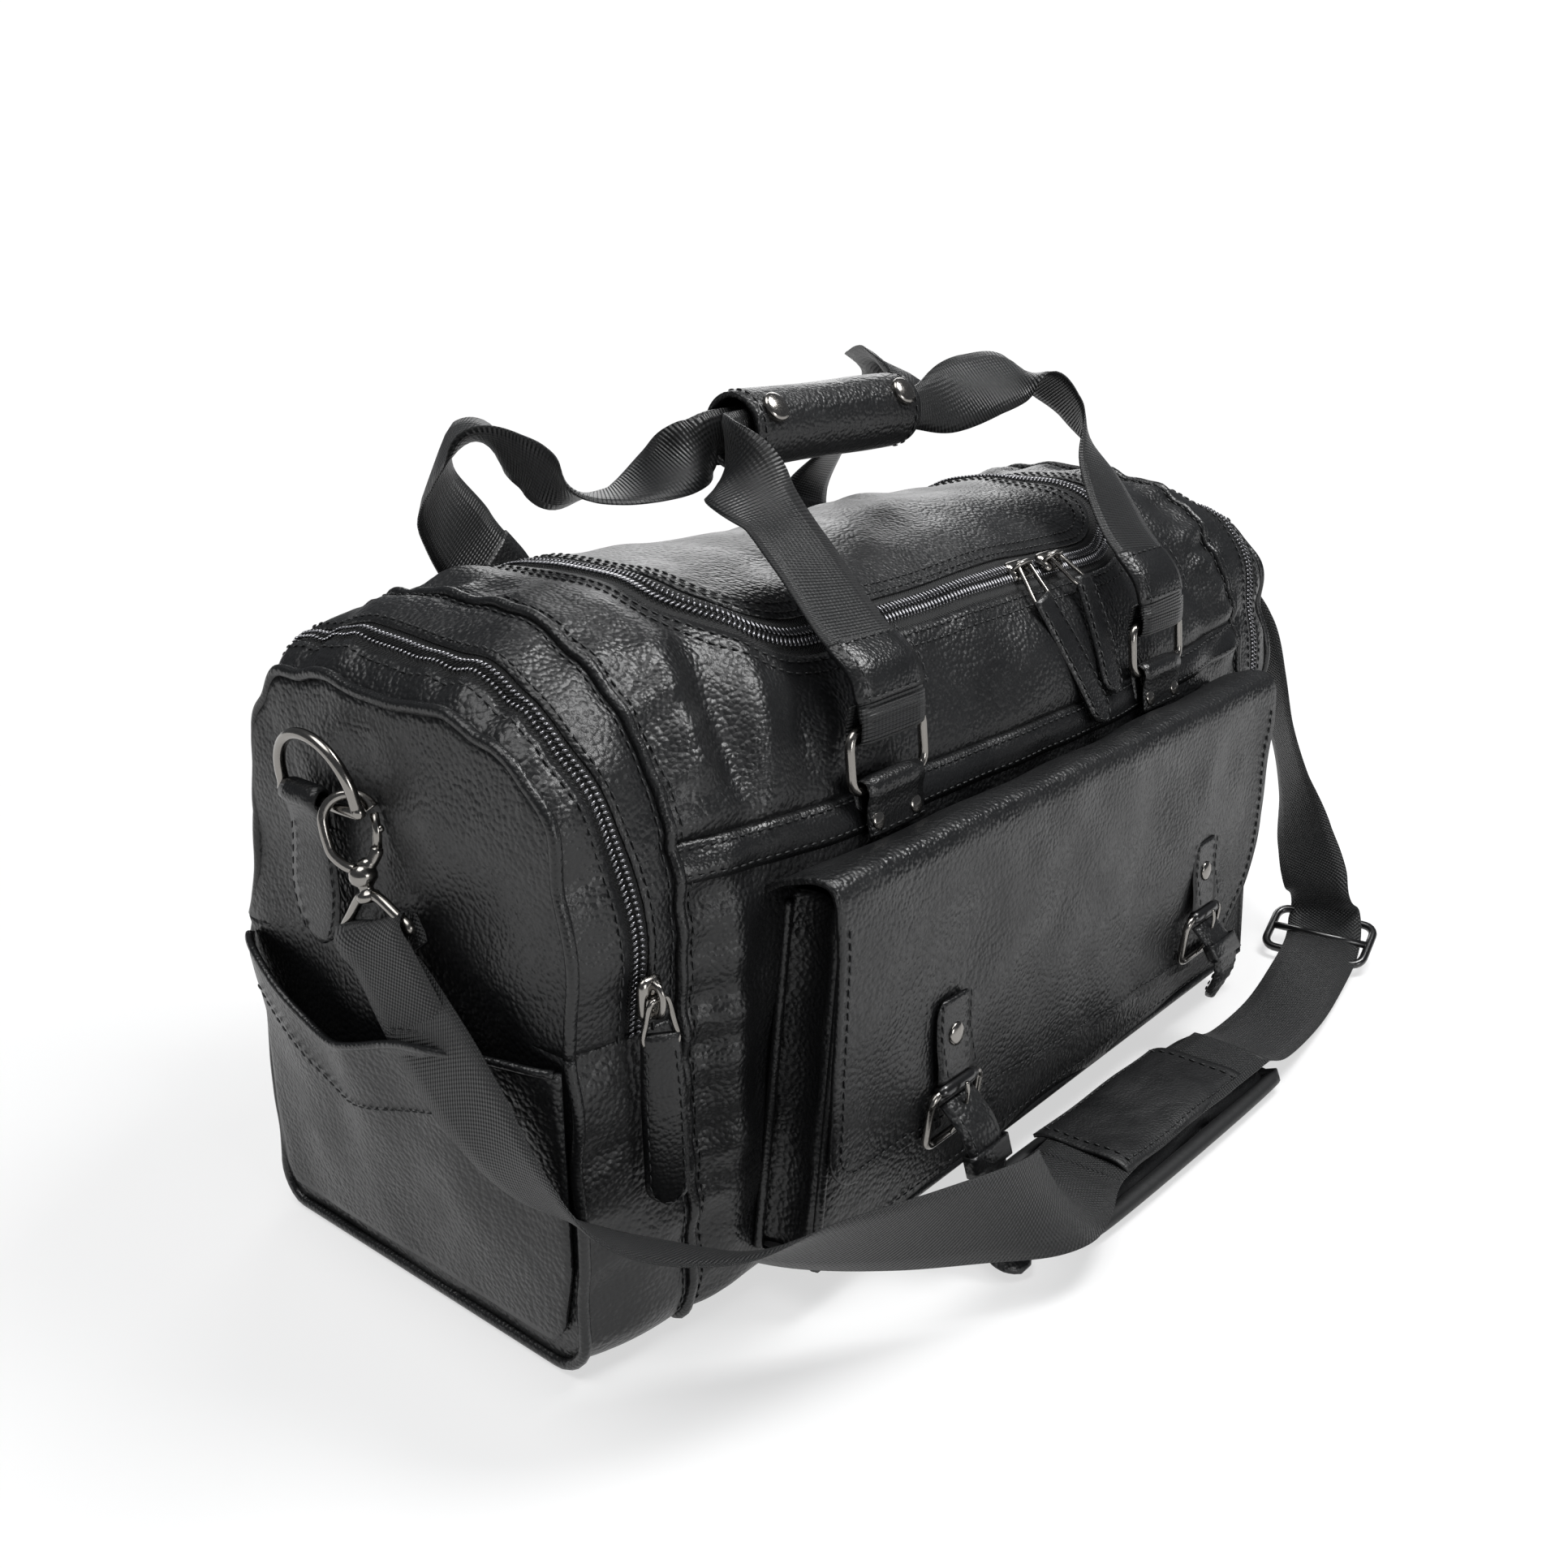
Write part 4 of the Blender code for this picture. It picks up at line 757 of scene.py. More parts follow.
pipes = []
around = np.linspace(0, total, 260)
for side in (-1, 1):
    ring = skin(np.full(260, side * bodyX), around, .0008)
    under = np.stack([np.full(9, side * bodyX), np.linspace(ring[-1, 1], ring[0, 1], 11)[1:-1],
                      np.full(9, .0022)], 1)
    ring[:, 2] = np.maximum(ring[:, 2], .0022)
    pipes.append(tubeParts(np.concatenate([ring, under]), shell["piping"], closed=True, hint=(1, 0, 0)))
    for off in (-1, 1):
        line = np.linspace(.02, total - .02, 220)
        onSkin("shell", np.stack([np.full(220, side * (bodyX + off * shell["stitchIn"])), line], 1))
joined("seamPiping", pipes, "rolled", "shell")
print("body laid up")

# ---- main zip
zipper = {"pitch": .0021, "rowIn": .0004, "rowOut": .0044, "tapeLift": -.0011, "coilLift": .0001}


def coilShape(name, length, thick, slant):
    points, faces = bar(length, thick, thick, 5, 6, slant=slant)
    return shapeOf(name, points[:, [1, 0, 2]], faces)


coils = {1: coilShape("coilA", .0042, .0015, .28), -1: coilShape("coilB", .0042, .0015, -.28),
         2: coilShape("coilC", .0027, .0013, .25), -2: coilShape("coilD", .0027, .0013, -.25)}
for sign, body, node in ((1, "shell", "zip_tape_body"), (-1, "lid", "zip_tape_lid")):
    inner, outer = zipLoop(sign * .0003), zipLoop(sign * (zipHalf + .0008))
    count = 330
    lines = np.stack([evenly(inner, count) * (1 - t) + evenly(outer, count) * t for t in np.linspace(0, 1,
                                                                                                     6)])
    points = skin(lines[..., 0], lines[..., 1], zipper["tapeLift"])
    run = np.broadcast_to(runOf(points[0])[None, :], lines.shape[:2])
    deep = np.broadcast_to(np.linspace(0, zipHalf, 6)[:, None], lines.shape[:2])
    sheet("mainTape" + body.title(), points, "tape", body, thick=.0008, stands=(node,),
          uvs=np.stack([run, deep], -1).reshape(-1, 2))
    path = zipLoop(sign * (zipper["rowIn"] + zipper["rowOut"]) / 2, .004)
    repeatAlong("mainCoil" + body.title(), [(skin(path[:, 0], path[:, 1], zipper["coilLift"]),
                                             outAt(path[:, 0], path[:, 1]))], coils[sign], zipper["pitch"],
                "teeth", body)
    onSkin(body, zipLoop(sign * (zipHalf + .0028), .004))
    onSkin(body, zipLoop(sign * (zipHalf + .0078), .004))
print("main zip laid")

# ---- end pockets
ends = {"pipeIn": .0030, "pipeX": .0015, "gap": .0045, "faceBulge": .0024, "mouth": .0150, "rows": 90}
half0 = half - ends["pipeX"]


def outlineUpper(side, lift, x=half0, count=ends["rows"]):
    a = np.linspace(aFold, total - aFold, count)
    return skin(np.full(count, side * x), a, lift)


def outlineLower(side, lift, x=half0, count=ends["rows"]):
    a = np.linspace(aFold, 0, 60)
    rise = skin(np.full(60, side * x), a, lift)
    path = np.concatenate([rise, tuck(rise * (1, -1, 1))[::-1]])
    path[:, 2] = np.maximum(path[:, 2], -lift + .0004)
    return evenly(path, count)


def endFace(side):
    upper, lower = outlineUpper(side, -ends["pipeIn"]), outlineLower(side, -ends["pipeIn"])
    lower[0], lower[-1] = upper[0], upper[-1]
    n, m = ends["rows"], 22
    fold = np.stack([np.full(n, side * half0), np.linspace(upper[0, 1], upper[-1, 1], n) * .84,
                     np.full(n, upper[0, 2])], 1)
    t = np.linspace(0, 1, m)[:, None, None]
    grid = np.concatenate([upper[None] * (1 - t) + fold[None] * t,
                           (fold[None] * (1 - t) + lower[None] * t)[1:]])
    y, z = grid[..., 1] / .098, (grid[..., 2] - .118) / .116
    inside = np.clip(1 - np.maximum(np.abs(y), np.abs(z)) ** 2, 0, 1)
    soft = .0009 * waves(grid[..., 1], grid[..., 2], .060, 30) * np.sqrt(inside)
    rim = np.exp(-inside / .25) * np.clip(grid[..., 2] - .10, 0, .02) / .02
    soft = soft + .0009 * waves(np.arctan2(y, z) * .1, inside * .02, .020,
                                41 + side) * rim * np.clip(inside * 12, 0, 1)
    grid[..., 0] += side * (ends["faceBulge"] * np.sqrt(inside) + soft)
    return grid


for side, label in ((-1, "left"), (1, "right")):
    cap = label.title()
    outwards = lambda c, s=side: c * 0 + (s, 0, 0)
    a = np.linspace(aFold, total - aFold, 190)
    zipX = endZipX(a)

    def strip(from0, to0, rows, lift=0.0, bend=0.0):
        t = np.linspace(0, 1, rows)[:, None]
        x = from0[None, :] * (1 - t) + to0[None, :] * t
        return skin(side * x, a[None, :], lift - bend * t ** 3)

    edge = np.full(190, bodyX)
    sheet("endStrip" + cap, strip(edge, zipX - ends["gap"], 9), "hide", "shell",
          stands=("end_wall_" + label,))
    sheet("endGusset" + cap, strip(zipX + ends["gap"], np.full(190, half0), 8, 0, ends["pipeIn"]), "hide",
          "end_door_" + label, stands=("end_door_" + label,))
    # the lining wall between the main compartment and the end pocket
    up = np.linspace(.002, total / 2 - .002, 70)[:, None]
    t = np.linspace(0, 1, 24)[None, :, None]
    low, high = skin(side * (bodyX + .0012), up, -.0016)[:, :1], skin(side * (bodyX + .0012), total - up,
                                                                      -.0016)[:, :1]
    sheet("endPartition" + cap, low * (1 - t) + high * t, "lining", "shell", thick=.0008, facing=outwards)
    for sign, body, name in ((-1, "shell", "In"), (1, "end_door_" + label, "Out")):
        tape = strip(zipX + sign * .0002, zipX + sign * (ends["gap"] + .0008), 4, zipper["tapeLift"])
        run = np.broadcast_to(runOf(tape[0])[None, :], tape.shape[:2])
        deep = np.broadcast_to(np.linspace(0, .005, 4)[:, None], tape.shape[:2])
        sheet("endTape" + cap + name, tape, "tape", body, thick=.0007,
              stands=("end_zip_" + label,) if sign < 0 else (), uvs=np.stack([run, deep], -1).reshape(-1, 2))
        path = skin(side * (zipX + sign * .0016), a, .0001)
        repeatAlong("endCoil" + cap + name, [(path, outAt(side * zipX, a))], coils[2 * sign * side],
                    zipper["pitch"], "teeth", body)
        onSkin(body, np.stack([side * (zipX + sign * (ends["gap"] + .0026)), a], 1))
    # lower half: one cup of gussets and bottom, with the face running on up the door
    lower = np.linspace(aFold, 0, 60)
    t = np.linspace(0, 1, 16)[:, None]
    x = bodyX + (half0 - bodyX) * t
    rise = skin(side * x, lower[None, :], -ends["pipeIn"] * t ** 4)
    back = (rise * (1, -1, 1))[:, ::-1]
    back[..., 1] = skin(side * x, total - lower[None, ::-1], -ends["pipeIn"] * t ** 4)[..., 1]
    cup = np.concatenate([rise, back], 1)
    cup[..., 2] = np.maximum(cup[..., 2], .0003 + ends["pipeIn"] * t ** 4)
    sheet("endCup" + cap, cup, "hide", "shell", stands=("end_base_" + label,))
    face = sheet("endFace" + cap, endFace(side), "hide", None, facing=outwards)
    upperRim = outlineUpper(side, -ends["pipeIn"] + .0008, half0 + .0004, 150)
    lowerRim = outlineLower(side, -ends["pipeIn"] + .0008, half0 + .0004, 120)
    tube("rimPipingUpper" + cap, upperRim, shell["piping"], "rolled", "end_door_" + label, hint=(1, 0, 0))
    tube("rimPipingLower" + cap, lowerRim, shell["piping"], "rolled", "shell", hint=(1, 0, 0))

    def slipPoint(v, up):
        # v runs from front to back, up from the bottom seam to the mouth
        reach = .092 - .006 * np.clip(.03 - up * .1, 0, .03) / .03
        top = .1195 - .019 * np.exp(-((v - .60) / .24) ** 2)
        z = .0135 + (top - .0135) * up
        y = (-1 + 2 * v) * (reach - np.clip(.020 - z, 0, 1) * .7)
        sag = np.clip(1 - (2 * v - 1) ** 2, 0, 1) ** .7
        x = half + .0022 + ends["mouth"] * up ** 2.2 * sag + .003 * sag * np.sin(up * math.pi)
        x = x + .0012 * waves(v * .18, up * .1, .055, 17) * sag * (.3 + up)
        return tuck(np.stack([side * x, y, z], -1))

    v, up = np.meshgrid(np.linspace(0, 1, 70), np.linspace(0, 1, 40))
    sheet("slipPocket" + cap, slipPoint(v, up), "hide", "shell", facing=outwards,
          stands=("slip_pocket_" + label,), inner="lining")
    v = np.linspace(.01, .99, 90)
    tube("slipEdge" + cap, slipPoint(v, np.ones(90)), .0015, "rolled", "shell", hint=(1, 0, 0))
    v = np.linspace(.06, .94, 90)
    hem = slipPoint(v, 1 - (.12 + .17 * np.sin(v * math.pi) ** .8))
    stitch("shell", hem + (side * .0006, 0, 0), (side, 0, .2))
    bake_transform(bake(face))
print("end pockets made")

# ---- front pocket and its flap
pocket = {"halfWide": .168, "low": .0205, "high": .156, "front": .1322, "cornerRadius": .0055,
          "gussetFold": .0045, "flapHalf": .1705, "leftRadius": .016, "rightRadius": .050, "hem": .0045,
          "piping": .0019}


def pouchGrid():
    rows = np.linspace(pocket["low"], pocket["high"], 40)
    out = []
    for z in rows:
        w = pocket["halfWide"] + .0055 - .013 * (z - .03) / .112
        side = np.linspace(0, 1, 12)[:-1]
        y0 = -halfDepth(w) + .001
        corner = np.linspace(0, math.pi / 2, 6)
        r, f = pocket["cornerRadius"], pocket["front"]
        swell = .0030 * math.sin(min(1, (z - .018) / .09) * math.pi * .6)
        left = [(-w + pocket["gussetFold"] * math.sin(math.pi * t) ** .7 + .001 * math.sin(z * 160) * t,
                 y0 + (-f + r - y0) * t) for t in side]
        left += [(-w + r - r * math.cos(t), -f + r - r * math.sin(t)) for t in corner]
        x = np.linspace(-w + r, w - r, 110)[1:-1]
        middle = [(k, -f - swell * (1 - (k / w) ** 4) - .0006 * float(waves(k, z, .07, 23))) for k in x]
        right = [(-p, q) for p, q in left[::-1]]
        out.append([(p, q, z) for p, q in left + middle + right])
    under = []
    for k in (0, .4, .8, .97):
        ring = np.array(out[0])
        ring[:, 1] = ring[:, 1] * k + (-halfDepth(ring[:, 0]) + .004) * (1 - k)
        ring[:, 2] = .0195 + .001 * k
        under.append(ring)
    return np.concatenate([np.array(under), np.array(out)])


sheet("frontPouch", pouchGrid(), "hide", "shell", stands=("front_pocket",),
      facing=lambda c: c * 0 + (0, -1, 0))
pouchPipes, z = [], np.linspace(pocket["low"], pocket["high"] - .003, 60)
for side in (-1, 1):
    w = pocket["halfWide"] + .0055 - .013 * (z - .03) / .112
    line = np.stack([side * (w - .0014), np.full(60, -pocket["front"] + .0014), z], 1)
    back = np.stack([side * (w + .0008), -halfDepth(w) - .0012, z], 1)
    pouchPipes += [tubeParts(edge, pocket["piping"], hint=(1, 0, 0)) for edge in (line, back)]
w = pocket["halfWide"] + .005
line = np.stack([np.linspace(-w, w, 90), np.full(90, -pocket["front"] + .0010),
                 np.full(90, pocket["low"] + .0006)], 1)
pouchPipes.append(tubeParts(line, pocket["piping"], hint=(0, 0, 1)))
joined("pouchPiping", pouchPipes, "rolled", "shell")
line = np.stack([np.linspace(-w + .008, w - .008, 150), np.full(150, -pocket["front"] - .0010),
                 np.full(150, pocket["low"] + .006)], 1)
stitch("shell", line, (0, -1, 0))

flapRun = smoothPath([(0, .1108, .1590), (0, .1150, .1640), (0, .1205, .1672), (0, .1275, .1690),
                      (0, .1335, .1682), (0, .1368, .1640), (0, .1378, .1570), (0, .1380, .1300),
                      (0, .1384, .0950), (0, .1372, .0515)], 12)


def flapPoint(x, run, lift=0.0):
    x, run = np.broadcast_arrays(x, run)
    length = runOf(flapRun)
    y, z = np.interp(run, length, flapRun[:, 1]), np.interp(run, length, flapRun[:, 2])
    ty, tz = np.gradient(flapRun[:, 1]), np.gradient(flapRun[:, 2])
    size = np.hypot(ty, tz)
    ny, nz = np.interp(run, length, -tz / size), np.interp(run, length, ty / size)
    onFront = np.clip((run - .036) / .02, 0, 1)
    base = np.clip(1 - run / .012, 0, 1)
    soft = .0007 * waves(x, run, .08, 51) + .0003 * waves(x, run, .03, 52)
    curl = .0035 * np.clip(1 - np.hypot(x - .168, z - .054) / .05, 0, 1)
    h = lift + soft * (.4 + .6 * onFront) + curl * onFront
    gap = (halfDepth(x) - halfDepth(0)) * base
    # its lower edge hangs lower towards the right
    drop = .0125 * np.clip((x + .12) / .22, 0, 1) * np.clip((run - .05) / .10, 0, 1)
    return np.stack([x, -(y + gap + ny * h), z + nz * h - drop], -1)


flapLong = runOf(flapRun)[-1]


def flapWide(run, side, inset=0.0):
    low = flapLong - inset
    r = max(pocket["rightRadius" if side > 0 else "leftRadius"] - inset, .004)
    w = pocket["flapHalf"] - inset
    t = np.clip((run - (low - r)) / r, 0, 1)
    lean = -.010 * np.clip((run - .05) / .1, 0, 1.2) if side > 0 else .002 * np.clip((run - .05) / .1, 0, 1)
    return w - r + r * np.sqrt(np.clip(1 - t ** 2, 0, 1)) + lean


runs = np.concatenate([np.linspace(0, flapLong - .051, 50),
                       flapLong - .05 * (1 - np.sin(np.linspace(0, math.pi / 2, 34)))])
t = (np.linspace(-1, 1, 130))[None, :]
leftWide = np.array([flapWide(r, -1) for r in runs])[:, None]
rightWide = np.array([flapWide(r, 1) for r in runs])[:, None]
flapX = (leftWide + rightWide) / 2 * t + (rightWide - leftWide) / 2
flap = sheet("pocketFlap", flapPoint(flapX, runs[:, None]), "hide", None, thick=.0020, inner="rolled",
             stands=("flap_top", "pocket_flap"), facing=lambda c: c * 0 + (0, -1, .3))
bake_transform(bake(flap))
hem = pocket["hem"]
ys = np.concatenate([np.linspace(.045, flapLong - .06, 40),
                     flapLong - hem - .055 * (1 - np.sin(np.linspace(0, math.pi / 2, 30)))])
left = np.array([(-flapWide(r, -1, hem), r) for r in ys])
right = np.array([(flapWide(r, 1, hem), r) for r in ys])[::-1]
path = evenly(np.concatenate([left, right]), 300)
stitch("pocket_flap", flapPoint(path[:, 0], path[:, 1], .0003), (0, -1, .05))
print("pocket and flap made")

# ---- closures on the flap
closure = {"x": .103, "wide": .0225, "barY": -.142, "barZ": .069, "frameWide": .032, "frameTall": .022}
rivets = {}


def addRivet(body, at, out, radius, height=.35):
    rivets.setdefault(body, []).append(rivet(at, out, radius, height))


def edgeStitch(body, path, width, lift, inset):
    face = np.cross(np.gradient(path, axis=0), (1, 0, 0))
    face /= np.linalg.norm(face, axis=1)[:, None]
    for sign in (-1, 1):
        for flip in (-1, 1):
            stitch(body, path + (width / 2 - inset)[:, None] * (sign, 0, 0) + face * flip * lift, face * flip)


for side, label in ((-1, "left"), (1, "right")):
    cap, x = label.title(), side * closure["x"]
    tabPath = smoothPath([(x, -.1398, .1045), (x, -.1400, .0900), (x, -.1411, .0800), (x, -.1414, .0722)], 8)
    widths = np.interp(runOf(tabPath), [0, .0025, .006, 1],
                       [closure["wide"] * .72, closure["wide"] * .95, closure["wide"], closure["wide"]])
    ribbon("closureTab" + cap, tabPath, (1, 0, 0), widths, .0019, "rolled", "pocket_flap",
           stands=("closure_tab_" + label,))
    for sx in (-1, 1):
        line = np.stack([np.full(20, x + sx * (closure["wide"] / 2 - .0022)),
                         np.interp(np.linspace(0, 1, 20), [0, .5, 1], [-.1411, -.1411, -.1440]),
                         np.linspace(.1030, .0775, 20)], 1)
        stitch("pocket_flap", line, (0, -1, .1))
    addRivet("pocket_flap", (x, -.1412, .0895), (0, -1, .08), .0046)
    bar0 = np.array([x, closure["barY"], closure["barZ"]])
    slope = np.array([0, .12, -1]) / math.hypot(.12, 1)
    wire = [bar0 + (px, 0, 0) + slope * (closure["frameTall"] / 2 - pz)
            for px, pz in roundedLoop(closure["frameWide"], closure["frameTall"], .0045, 6)]
    parts = [tubeParts(wire, .0017, closed=True, hint=(0, 1, 0))]
    prong = [bar0 + (0, -.0046, .0022), bar0 + (0, -.0052, -.003), bar0 + slope * .012 + (0, -.0050, 0),
             bar0 + slope * closure["frameTall"] + (0, -.0010, 0)]
    parts.append(tubeParts(smoothPath(prong, 5), .0012, hint=(1, 0, 0), flat=.6))
    joined("buckleFrame" + cap, parts, "gunmetal", "closure_" + label, stands=("buckle_" + label,))
    tube("buckleRoller" + cap, [bar0 + (k, 0, 0) for k in np.linspace(-.0120, .0120, 7)],
         [.0022, .0029, .0029, .0029, .0029, .0029, .0022], "lacquer", "closure_" + label, sides=14)
    # strap end: over the bar, through the frame and down, with a pointed tip
    keys = [(x, -.1420, .0640), (x, -.1468, .0600), (x, -.1525, .0540), (x, -.1572, .0440),
            (x, -.1592, .0320), (x, -.1610, .0190), (x, -.1660, .0085), (x, -.1765, .0026)]
    if side > 0:
        keys = [(x, -.1420, .0640), (x, -.1465, .0600), (x + .001, -.1520, .0540), (x + .002, -.1540, .0460),
                (x + .003, -.1525, .0390), (x + .003, -.1500, .0330), (x + .003, -.1480, .0270)]
    path = evenly(smoothPath(keys, 6), 48)
    run = runOf(path)
    left = run[-1] - run
    widths = (closure["wide"] - .001) * np.interp(left, [0, .002, .005, .009, 1], [.30, .62, .86, 1, 1])
    ribbon("strapEnd" + cap, path, (1, 0, 0), widths, .0028, "hide", "closure_" + label, cup=.0007,
           stands=("strap_end_" + label,))
    edgeStitch("closure_" + label, path[6:-6], widths[6:-6], .0015, .0034)
    loop = roundedLoop(closure["wide"] + .003, .0062, .0024, 4)
    d = path[17] - path[15]
    d /= np.linalg.norm(d)
    n = np.cross((1, 0, 0), d)
    keeper = np.array([path[16] + np.array((px, 0, 0)) + n * pz for px, pz in loop])
    stack = np.stack([keeper + d * k for k in np.linspace(-.0040, .0040, 5)], 0)
    sheet("keeper" + cap, np.concatenate([stack, stack[:, :1]], 1), "rolled", "closure_" + label, thick=.0012,
          inner="rolled", facing=lambda c, m=path[16]: c - m)
print("closures made")

# ---- grab handles, rings and their loops
grab = {"x": .103, "wide": .038, "thick": .0023, "ringWide": .044, "ringTall": .022, "ringWire": .0019,
        "loopWide": .034, "patchTall": .030, "pinY": .107469, "pinZ": .181098, "gripY": .0150, "gripZ": .0158,
        "gripFrom": -.067, "gripTo": .043, "gripUp": .040}
bagTop, webWide, webThick = bag["height"], grab["wide"], grab["thick"]
stitchEdge = webWide / 2 - .0022
# the webbing lies flat, is sewn double at its ends, and is rolled up inside the grip
flat, doubled, rolledUp = (webWide, webThick), (webWide, 2 * webThick), (.018, 2 * webThick)
fy, fz = -grab["pinY"] + .002 * .026, grab["pinZ"] + .026
by, bz = grab["pinY"] - .002, fz
handleKeys = {"front": [(-.103, fy - .001, fz, 1, 0, 0, *doubled),
                        (-.103, fy + .004, fz + .016, 1, 0, 0, *doubled),
                        (-.102, -.088, bagTop - .019, 1, 0, 0, *flat),
                        (-.099, -.068, bagTop - .002, 1, .05, 0, *flat),
                        (-.093, -.048, bagTop + .011, .9, .3, .2, *flat),
                        (-.092, -.030, bagTop + .024, .7, .2, .6, webWide * .9, webThick),
                        (-.084, -.014, bagTop + .035, .2, .2, 1, .028, 1.5 * webThick),
                        (-.071, -.0055, bagTop + .0395, 0, .1, 1, *rolledUp),
                        (-.040, -.005, bagTop + .04, 0, 0, 1, *rolledUp),
                        (.016, -.005, bagTop + .04, 0, 0, 1, *rolledUp),
                        (.047, -.0055, bagTop + .04, 0, 0, 1, *rolledUp),
                        (.066, -.010, bagTop + .042, 0, .5, 1, .030, 1.5 * webThick),
                        (.086, -.018, bagTop + .049, -.1, 1, .6, *flat),
                        (.106, -.030, bagTop + .052, -.2, 1, .2, *flat),
                        (.118, -.046, bagTop + .038, .5, .9, .1, *flat),
                        (.117, -.062, bagTop + .014, .9, .3, .1, *flat),
                        (.107, -.084, bagTop - .012, 1, 0, 0, *flat),
                        (.103, fy + .004, fz + .016, 1, 0, 0, *doubled),
                        (.103, fy - .001, fz, 1, 0, 0, *doubled)],
              "back": [(-.103, by + .001, bz, 1, 0, 0, *doubled),
                       (-.104, by - .003, bz + .016, 1, 0, 0, *doubled),
                       (-.120, .104, bagTop - .010, 1, .1, 0, *flat),
                       (-.139, .097, bagTop + .012, .9, .5, 0, *flat),
                       (-.146, .082, bagTop + .031, .6, .8, .1, *flat),
                       (-.142, .066, bagTop + .038, .3, 1, 0, *flat),
                       (-.134, .049, bagTop + .030, .2, 1, -.3, *flat),
                       (-.126, .034, bagTop + .019, .1, 1, -.1, *flat),
                       (-.112, .020, bagTop + .018, .45, .9, 0, *flat),
                       (-.094, .010, bagTop + .026, .25, .85, .45, .034, webThick),
                       (-.081, .006, bagTop + .035, 0, .2, 1, .024, 1.5 * webThick),
                       (-.070, .005, bagTop + .0395, 0, 0, 1, *rolledUp),
                       (-.030, .005, bagTop + .04, 0, 0, 1, *rolledUp),
                       (.016, .005, bagTop + .04, 0, 0, 1, *rolledUp),
                       (.047, .0055, bagTop + .04, 0, 0, 1, *rolledUp),
                       (.062, .014, bagTop + .044, 0, .3, 1, .028, 1.5 * webThick),
                       (.078, .028, bagTop + .052, -.2, .8, .7, *flat),
                       (.098, .048, bagTop + .052, -.2, 1, .2, *flat),
                       (.114, .068, bagTop + .038, .5, .9, 0, *flat),
                       (.116, .086, bagTop + .014, .9, .4, 0, *flat),
                       (.108, .102, bagTop - .012, 1, 0, 0, *flat),
                       (.103, by - .003, bz + .016, 1, 0, 0, *doubled),
                       (.103, by + .001, bz, 1, 0, 0, *doubled)], }
# the webbing's turn over the ring's upper bar, outwards and up
webFold = ((.0030, .010), (.0036, .002), (.0030, -.0024), (0, -.0036), (-.0030, -.0022), (-.0034, .003),
           (-.0022, .010))
for face, label in ((-1, "front"), (1, "back")):
    body, cap = "handle_" + label, label.title()
    path = evenly(smoothPath(handleKeys[label], 10), 330)
    ribbon("handle" + cap, path[:, :3], path[:, 3:6], path[:, 6], path[:, 7], "grab", body, cup=.0006,
           stands=("handle_" + label,))
    run = runOf(path)
    for side, end in ((-1, "left"), (1, "right")):
        where = cap + end.title()
        pin = np.array([side * grab["x"], face * grab["pinY"], grab["pinZ"]])
        # the ring stands up from its loop and carries the webbing
        up = np.array([0, -face * .10, 1]) / math.hypot(.1, 1)
        loop = [pin + (px, 0, 0) + up * (pz + grab["ringTall"] / 2)
                for px, pz in roundedLoop(grab["ringWide"], grab["ringTall"], .0055, 7)]
        tube("handleRing" + where, closedEven(loop, 72), grab["ringWire"], "gunmetal", body, sides=14,
             closed=True, hint=(0, 1, 0), stands=("handle_ring_" + label + "_" + end,))
        at = (run < .001 + grab["patchTall"]) if side < 0 else (run > run[-1] - .001 - grab["patchTall"])
        pick = path[at]
        ringTop = pin + up * (grab["ringTall"] - .001)
        fold = smoothPath([ringTop + (0, face * k, m) for k, m in webFold], 5)
        ribbon("handleFold" + where, fold, (1, 0, 0), webWide, .0018, "grab", body)
        if side > 0:
            pick = pick[::-1]
        pick = pick[int(len(pick) * .26):]
        ribbon("handlePatch" + where, pick[:, :3], pick[:, 3:6], webWide + .0016, pick[:, 7] + .0028,
               "rolled", body)
        n = np.cross(np.gradient(pick[:, :3], axis=0), (1, 0, 0))
        n *= np.sign(n[:, 1:2] * face) / np.linalg.norm(n, axis=1)[:, None]
        top = pick[:, :3] + n * (pick[:, 7:8] / 2 + .0018)
        for sx in (-1, 1):
            stitch(body, top[1:-1] + (sx * stitchEdge, 0, 0), n[1:-1])
        row = np.linspace(-stitchEdge, stitchEdge, 14)[:, None] * (1, 0, 0)
        for k in (1, -2):
            stitch(body, top[k] + row, n[k])
        # leather loop round the ring's lower bar, riveted below the band seam
        a = aBand + .001 if face < 0 else total - aBand - .001
        normal = outAt(pin[0], a)
        down = np.array([0, -normal[2], normal[1]]) * (1 if face > 0 else -1)
        down = down * np.sign(-down[2])
        spot = lambda out, below: pin + normal * out + down * below
        tabPath = smoothPath([spot(-.0010, .0175), spot(-.0004, .012), spot(.0012, .006), spot(.0034, .0015),
                              spot(.0030, -.0022), spot(0, -.0037), spot(-.0032, -.0020), spot(-.0040, .003),
                              spot(-.0042, .012)], 5)
        ribbon("ringLoop" + where, tabPath, (1, 0, 0), grab["loopWide"], .0020, "rolled", "shell",
               stands=(f"ring_tab_{label}_{end}",))
        for dx in (-.0115, .0115):
            addRivet("shell", spot(.0004, .0118) + (dx, 0, 0), normal, .0036)
        line = [spot(.0003, .0158) + (k, 0, 0) for k in np.linspace(-.0145, .0145, 14)]
        stitch("shell", np.array(line), normal)

